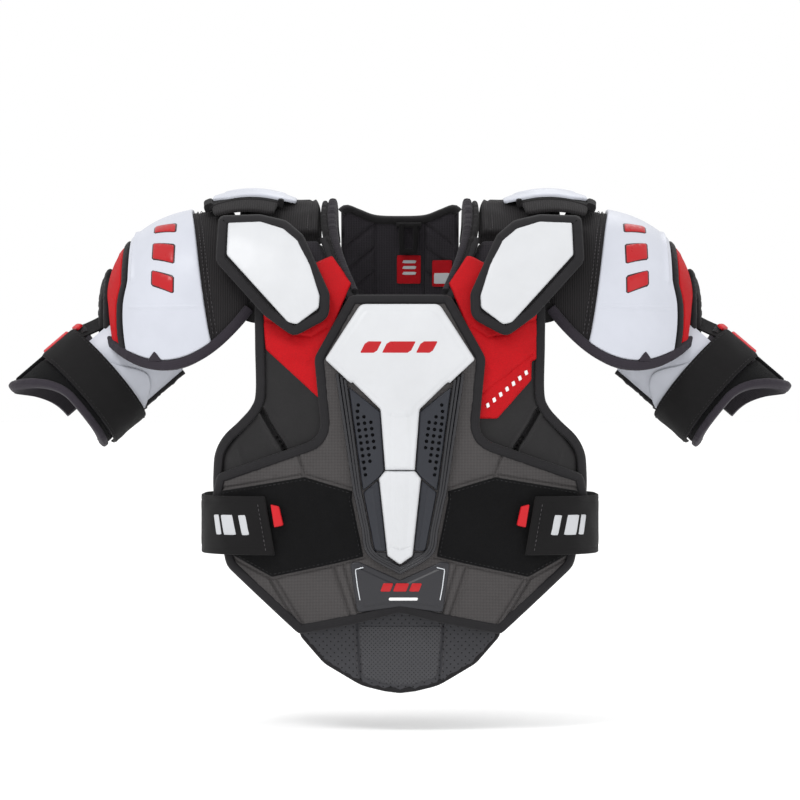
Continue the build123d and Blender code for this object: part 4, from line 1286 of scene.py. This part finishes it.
def dome_outline(inner, outer, margin, count=14):
    """A band over the dome from its front border to its back one; inner and outer give x at a wrap."""
    def edge(x_at, reverse):
        low = rim_w(x_at(-50)) + margin
        high = rim_back_w(x_at(-50)) - margin
        ws = np.linspace(low, high, count * 3)
        line = [(dome_s(x_at(min(w, DOME_TURN - w))), w) for w in ws]
        return line[::-1] if reverse else line
    front_rim = [(dome_s(x), rim_w(x) + margin) for x in np.linspace(x_in(inner), x_in(outer), count)[1:-1]]
    back_rim = [(dome_s(x), rim_back_w(x) - margin)
                for x in np.linspace(x_in(outer), x_in(inner), count)[1:-1]]
    ring = np.array(front_rim + edge(outer, False) + back_rim + edge(inner, True), float)
    return resample(ring, 2.6 * FINE, closed=True)


def x_in(x_at):
    return x_at(-50)


def white_inner(w):
    """x of the white shell's inner edge: it slants out towards the top."""
    return 172.0 + 21.0 * min(1.0, max(0.0, (w + 35) / 150)) ** 0.8


def white_outer(w):
    return 249.5 + 4.5 * math.sin(min(1.0, max(0.0, (w + 50) / 80)) * math.pi)


def red_outer(w):
    return 261.6 + 8.6 * math.sin(min(1.0, max(0.0, (w + 46) / 150)) * math.pi) ** 0.7


def build_shoulder_caps():
    rims = [(dome_s(x), rim_w(x)) for x in np.linspace(137, 271, 26)]
    backs = [(dome_s(x), rim_back_w(x)) for x in np.linspace(271, 137, 26)]
    notch = [(dome_s(137), DOME_TURN - 42), (dome_s(152), DOME_TURN - 50), (dome_s(154), DOME_TURN - 62),
             (dome_s(154), 62), (dome_s(152), 50), (dome_s(137), 42)]
    ring = resample(np.array(rims + backs + notch, float), 3.0 * FINE, closed=True)
    seam = np.array([(dome_s(white_inner(min(w, DOME_TURN - w)) - 5.5), w)
                     for w in np.linspace(-28, DOME_TURN - 6, 80)])
    piece = pad("left_cap_foam_cover", ring, dome, -8.6, -1.0, RIBBED, edge=2.4, grid=3.8,
                creases=[(seam, 2.0, -0.9)])
    hold(piece, "left_shoulder_cap", ["left_cap_foam"], sides=True)
    hold(stitches("left_cap_thread", [(seam + (2.0, 0), False, dome, -0.5),
            (seam - (1.4, 0), False, dome, -0.5)], THREAD_GREY), "left_shoulder_cap",
         sides=True)
    ring = dome_outline(white_inner, white_outer, 9.3)
    ridge = np.array([(dome_s(244.0), w) for w in np.linspace(30, DOME_TURN - 30, 70)])
    step = line_of((dome_s(184), -3.0), (dome_s(246), -3.0))
    step_back = step * (1, 0) + (0, DOME_TURN + 3.0)
    shell = pad("left_cap_shell_cover", ring, dome, -0.6, 3.2, CAP_WHITE, edge=1.8, start=0.45, grid=3.0,
                creases=[(ridge, 3.6, 1.9), (step, 2.2, 0.8), (step_back, 2.2, 0.8)], crown=0.5)
    hold(shell, "left_shoulder_cap", ["left_cap_shell"], sides=True)
    ring = dome_outline(lambda w: white_outer(w) + 7.0, red_outer, 9.3)
    hold(pad("left_cap_red_cover", ring, dome, -0.6, 2.2, RED, edge=1.4, grid=2.8), "left_shoulder_cap",
         ["left_cap_red_panel"], sides=True)
    lines = [
        ("stripe", np.array([(dome_s(white_outer(min(w, DOME_TURN - w)) + 4.0), w)
                             for w in np.linspace(-44, DOME_TURN + 22, 90)]),
         8.2, 4.2, BINDING),
        ("outer_rim", np.array([(dome_s(271.6), w)
                                for w in np.linspace(rim_w(271.6) + 2, rim_back_w(271.6) - 2, 110)]),
         7.5, 5.2, BINDING),
        ("front_rim", np.array([(dome_s(x), rim_w(x) + 4.6) for x in np.linspace(138, 271, 70)]), 9.6, 5.0,
         PURPLE),
        ("back_rim", np.array([(dome_s(x), rim_back_w(x) - 4.6) for x in np.linspace(138, 271, 70)]), 9.6,
         5.0, PURPLE),
    ]
    for k, (name, line, width, height, material) in enumerate(lines):
        hold(tape(f"left_cap_{name}", line, dome, -1.0, width, height, material, closed=False, seed=55 + k,
                thick=2.0), "left_shoulder_cap", ["left_cap_bindings"] if k == 0 else [],
             sides=True)
    end = [(-26, -104, 10), (26, -98, 10), (28, -60, 10), (20, -36, 10), (-20, -36, 10), (-28, -60, 10)]
    cover = pad("left_cap_end_cover", end, dome_end, 0.0, 4.0, SOFT_BLACK, edge=3.4, grid=3.2, crown=0.4)
    hold(puffed(cover, 1.5), "left_shoulder_cap", ["left_cap_end_pad"], sides=True)
    low = rim_w(223.0) + 8.0
    tooth = [(dome_s(223.0) - 8.0, low, 0.5), (dome_s(223.0) + 8.0, low, 0.5),
             (dome_s(223.0), low + 9.5, 0.5)]
    hold(pad("left_cap_tooth", tooth, dome, 2.4, 4.2, PURPLE, edge=0.8, start=0.4, grid=3.0),
         "left_shoulder_cap", sides=True)
    # generic mark: bars down the front of the white shell, not letters
    for k, (z, long) in enumerate(((-2, 13), (-24, 20), (-50, 15))):
        s, w = on_dome(216.0, z)
        for name, grow, low, rise, material in (("edge", 1.5, 2.9, 0.9, MARK_DARK),
                                                ("bar", 0.0, 3.1, 1.4, MARK_RED)):
            half, tall = 10.5 + grow, long / 2 + grow
            box = [(s - half, w - tall - 5, 0.3), (s + half, w - tall + 5, 0.3),
                   (s + half, w + tall + 5, 0.3), (s - half, w + tall - 5, 0.3)]
            hold(pad(f"left_cap_mark_{name}_{k + 1}", box, dome, low, low + rise, material, edge=0.7,
                     start=0.3, grid=4), "left_shoulder_cap", sides=True)


ARC = SLEEVE_R * math.pi / 180      # mm round the arm for one degree
SLEEVE_START = [(-95, -36), (-50, -30), (10, -30), (50, -25), (80, -25), (125, -46), (178, -24)]


def sleeve_start(around):
    for (a, start), (b, end) in zip(SLEEVE_START, SLEEVE_START[1:]):
        if around <= b:
            share = max(0.0, (around - a) / (b - a))
            return start + (end - start) * share * share * (3 - 2 * share)
    return SLEEVE_START[-1][1]


def sleeve_end(around):
    return 31 + 29 * max(0.0, math.cos(math.radians(around))) ** 2


def sleeve_ring(first, last, start, end, step=2.6):
    """An outline on the arm guard between two angles, in degrees, and two functions of the angle."""
    turn = np.linspace(first, last, 40)
    near = [(a * ARC, start(a)) for a in turn]
    far = [(a * ARC, end(a)) for a in turn[::-1]]
    return resample(np.array(near + far, float), step * FINE, closed=True)


def build_arm_guards():
    guard, strap_body = "left_arm_guard", "left_arm_strap_body"
    channels = [(line_of((a * ARC, sleeve_start(a) + 8), (a * ARC, 24)), 3.0, -1.2)
                for a in (-60, -20, 40, 100, 150)]
    piece = pad("left_arm_guard_lining", sleeve_ring(-95, 178, sleeve_start, sleeve_end), sleeve, -12.0,
                -6.3, LINER, edge=2.6, grid=4.0, creases=channels)
    hold(piece, guard, ["left_arm_guard_foam"], sides=True)
    plate = pad("left_arm_guard_shell", sleeve_ring(38, 165, lambda a: sleeve_start(a) + 6, lambda a: 18.0),
                sleeve, -6.0, -2.8, CAP_WHITE, edge=1.8, start=0.45, grid=3.0)
    hold(plate, guard, ["left_arm_guard_plate"], sides=True)
    side = pad("left_arm_side_cover", sleeve_ring(-74, 12, lambda a: sleeve_start(a) + 7,
            lambda a: sleeve_end(a) - 9), sleeve, -6.0, -2.8, VELVET, edge=1.8, grid=3.4)
    hold(side, guard, ["left_arm_side_plate"], sides=True)
    velour = pad("left_arm_velour", sleeve_ring(18, 172, lambda a: 20.5, lambda a: sleeve_end(a) - 5.0),
                 sleeve, -6.4, -4.4, VELVET, edge=1.4, grid=3.2)
    hold(velour, guard, sides=True)
    turn = np.linspace(-95, 178, 90)
    rims = [
        ("cuff", [(a * ARC, sleeve_end(a) - 3.2) for a in turn], 7.4, 6.4, PURPLE),
        ("top", [(a * ARC, sleeve_start(a) + 3.4) for a in np.linspace(-95, 34, 44)], 7.0, 4.6, BINDING),
        ("inner", [(175 * ARC, b) for b in np.linspace(-24, 30, 24)], 7.0, 5.0, BINDING),
        ("outer", [(-92 * ARC, b) for b in np.linspace(-34, 30, 24)], 7.0, 5.0, BINDING),
    ]
    for k, (name, line, width, height, material) in enumerate(rims):
        hold(tape(f"left_arm_{name}_tape", np.array(line, float), sleeve, -9.0, width, height, material,
                  closed=False, seed=61 + k, thick=2.0), guard, sides=True)
    ring = sleeve_ring(20, 196, lambda a: -19.0, lambda a: 20.0)
    band = pad("left_arm_strap_band", ring, sleeve, -2.0, 0.4, WEBBING, edge=1.0, start=0.5, grid=3.2,
               swell=lambda q: 0.25 * noise(q, 20, 65))
    hold(band, strap_body, ["left_arm_strap"], sides=True)
    runs = [(line_of((24 * ARC, b), (190 * ARC, b)), False, sleeve, 0.3) for b in (-16.5, 17.5)]
    hold(stitches("left_arm_strap_thread", runs, THREAD), strap_body, sides=True)
    tab = sleeve_ring(9, 20.5, lambda a: -14.0, lambda a: 15.0, 1.6)
    hold(pad("left_arm_tab", tab, sleeve, -1.6, 0.6, RED_TAB, edge=1.0, grid=2.2), strap_body,
         ["left_arm_pull_tab"], sides=True)
    oval = rounded([(4 * ARC, -26, 3), (24 * ARC, -28, 3), (26 * ARC, -21, 3), (6 * ARC, -19.5, 3)])
    hold(pad("left_arm_oval_tab", oval, sleeve, -3.0, -0.6, RED_TAB, edge=1.2, grid=2.2), guard,
         sides=True)


def build_waist_straps():
    length = float(STRAP_ARC[-1])
    body = "left_waist_strap_body"
    ring = [(10.5, -245, 1), (length - 1, -245, 2), (length - 1, -298, 2), (1.0, -298, 1)]
    ribs = [(line_of((8, z), (length - 3, z)), 1.6, -0.25) for z in (-250.5, -292.5)]
    band = pad("left_waist_band", ring, strap, 0.0, 2.5, WEBBING, edge=1.0, start=0.5, grid=3.6, creases=ribs,
               swell=lambda q: 0.3 * noise(q, 34, 71))
    hold(band, body, ["left_waist_strap"], sides=True)
    tab = [(-7, -271, 2), (1.5, -273, 1), (5, -252, 1), (-3, -254, 2)]
    hold(pad("left_waist_tab", tab, strap, 0.2, 2.6, RED_TAB, edge=1.0, grid=2.2), body,
         ["left_waist_pull_tab"], sides=True)
    hook = [(4, -295, 1), (46, -295, 1), (46, -248, 1), (10, -248, 1)]
    hold(pad("left_waist_hook", hook, strap, -1.4, -0.2, HOOK, edge=0.6, grid=3.6), body,
         ["left_waist_hook_patch"], sides=True)
    runs = [(line_of((length - 6, -294), (length - 6, -249)), False, strap, 2.6),
            (line_of((9, -294), (17, -249)), False, strap, 2.6)]
    hold(stitches("left_waist_thread", runs, THREAD_GREY), body, sides=True)
    for k, (at, long) in enumerate(((24, 7), (37, 13), (53, 7))):
        box = [(at, -280, 0.4), (at + long, -280, 0.4), (at + long + 4, -262, 0.4), (at + 4, -262, 0.4)]
        hold(pad(f"left_waist_mark_{k + 1}", box, strap, 2.4, 3.0, MARK_GREY, edge=0.5, start=0.4, grid=4),
             body, sides=True)


def ribbon(name, start, end, across, thickness, sag, material, count=12):
    """A flat webbing link between two points, hanging a little in its middle. All in mm."""
    start, end, across = (np.asarray(v, float) for v in (start, end, across))
    share = np.linspace(0, 1, count)[:, None]
    line = start + (end - start) * share + np.array((0, 0, -sag)) * 4 * share * (1 - share)
    ahead = np.gradient(line, axis=0)
    out = np.cross(ahead, across)
    out /= np.linalg.norm(out, axis=1, keepdims=True)
    corners = [line + across * a + out * thickness * b
               for a, b in ((-1, -0.5), (1, -0.5), (1, 0.5), (-1, 0.5))]
    rows = np.stack(corners, 1)
    length = np.linalg.norm(end - start)
    cloth = np.stack([np.stack([share[:, 0] * length, np.full(count, w)], -1) for w in (0, 8, 10, 18)], 1)
    return sweep(name, rows, cloth, material, False)


def tongue_start(around):
    """The tongue reaches furthest up on the arm's inner side."""
    return -46.0 - 26.0 * min(1.0, max(0.0, (around - 95) / 50)) ** 1.3


def build_tongues():
    """The arm guards' soft upper ends, which tuck in under the shoulder caps."""
    def tongue_end(around):
        return sleeve_start(around) + 9.0
    shape = sleeve_ring(50, 163, tongue_start, tongue_end)
    edge = np.array([(163 * ARC, b) for b in np.linspace(tongue_start(163) + 1, -18, 30)])
    one = np.array([1.0])
    low = sleeve(90 * ARC * one, -48.0 * one, -8.0 * one)[0]
    high = sleeve(90 * ARC * one, -22.0 * one, -8.0 * one)[0]
    for m, side in SIDES:
        flip = np.array((m, 1, 1))

        def surface(a, b, d):
            return sleeve(a, b, d) * flip
        for name, piece in (
            ("tongue", pad(f"{side}_arm_tongue", shape, surface, -9.6, -5.2, CAP_WHITE, edge=1.6,
                           start=0.45, grid=3.4)),
            ("tongue_tape", tape(f"{side}_arm_tongue_tape", edge, surface, -9.4, 9.5, 6.4, BINDING,
                                 closed=False, seed=81)),
        ):
            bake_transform(piece)


def build_links():
    """Fabric that crosses a joint: a ribbon from a point on one body to a point on the other, hanging a
    little in its middle; it is not tied to either body.
    """
    one = np.array([1.0])
    chest_end = front(126.0 * one, -79.0 * one, 6.0 * one)[0]
    wing_end = dome(dome_s(141.0) * one, -6.0 * one, -4.0 * one)[0]
    cap_end = dome_end(-14.0 * one, -82.0 * one, -4.0 * one)[0]
    guard_end = sleeve(26 * ARC * one, -19.0 * one, -4.5 * one)[0]
    for name, start, end, across, body, child in (
        ("under_arm_web", chest_end, wing_end, (0, 0, 9), "vest", "shoulder_cap"),
        ("arm_link", cap_end, guard_end, (3, 11, 5), "shoulder_cap", "arm_guard"),
    ):
        for m, side in SIDES:
            flip = np.array((m, 1, 1))
            piece = ribbon(f"{side}_{name}", start * flip, end * flip, np.array(across) * flip, 1.6, 1.0,
                           WEBBING)
            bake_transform(piece)


BUILDS = (
    stage, build_vest_front, build_shield, build_sternum, build_badge, build_yokes, build_collar,
    build_back_collar, build_back, build_belly_pad, build_clavicles, build_top_caps, build_aprons,
    build_shoulder_caps, build_arm_guards, build_waist_straps, build_tongues, build_links,
)

for build in BUILDS:
    build()
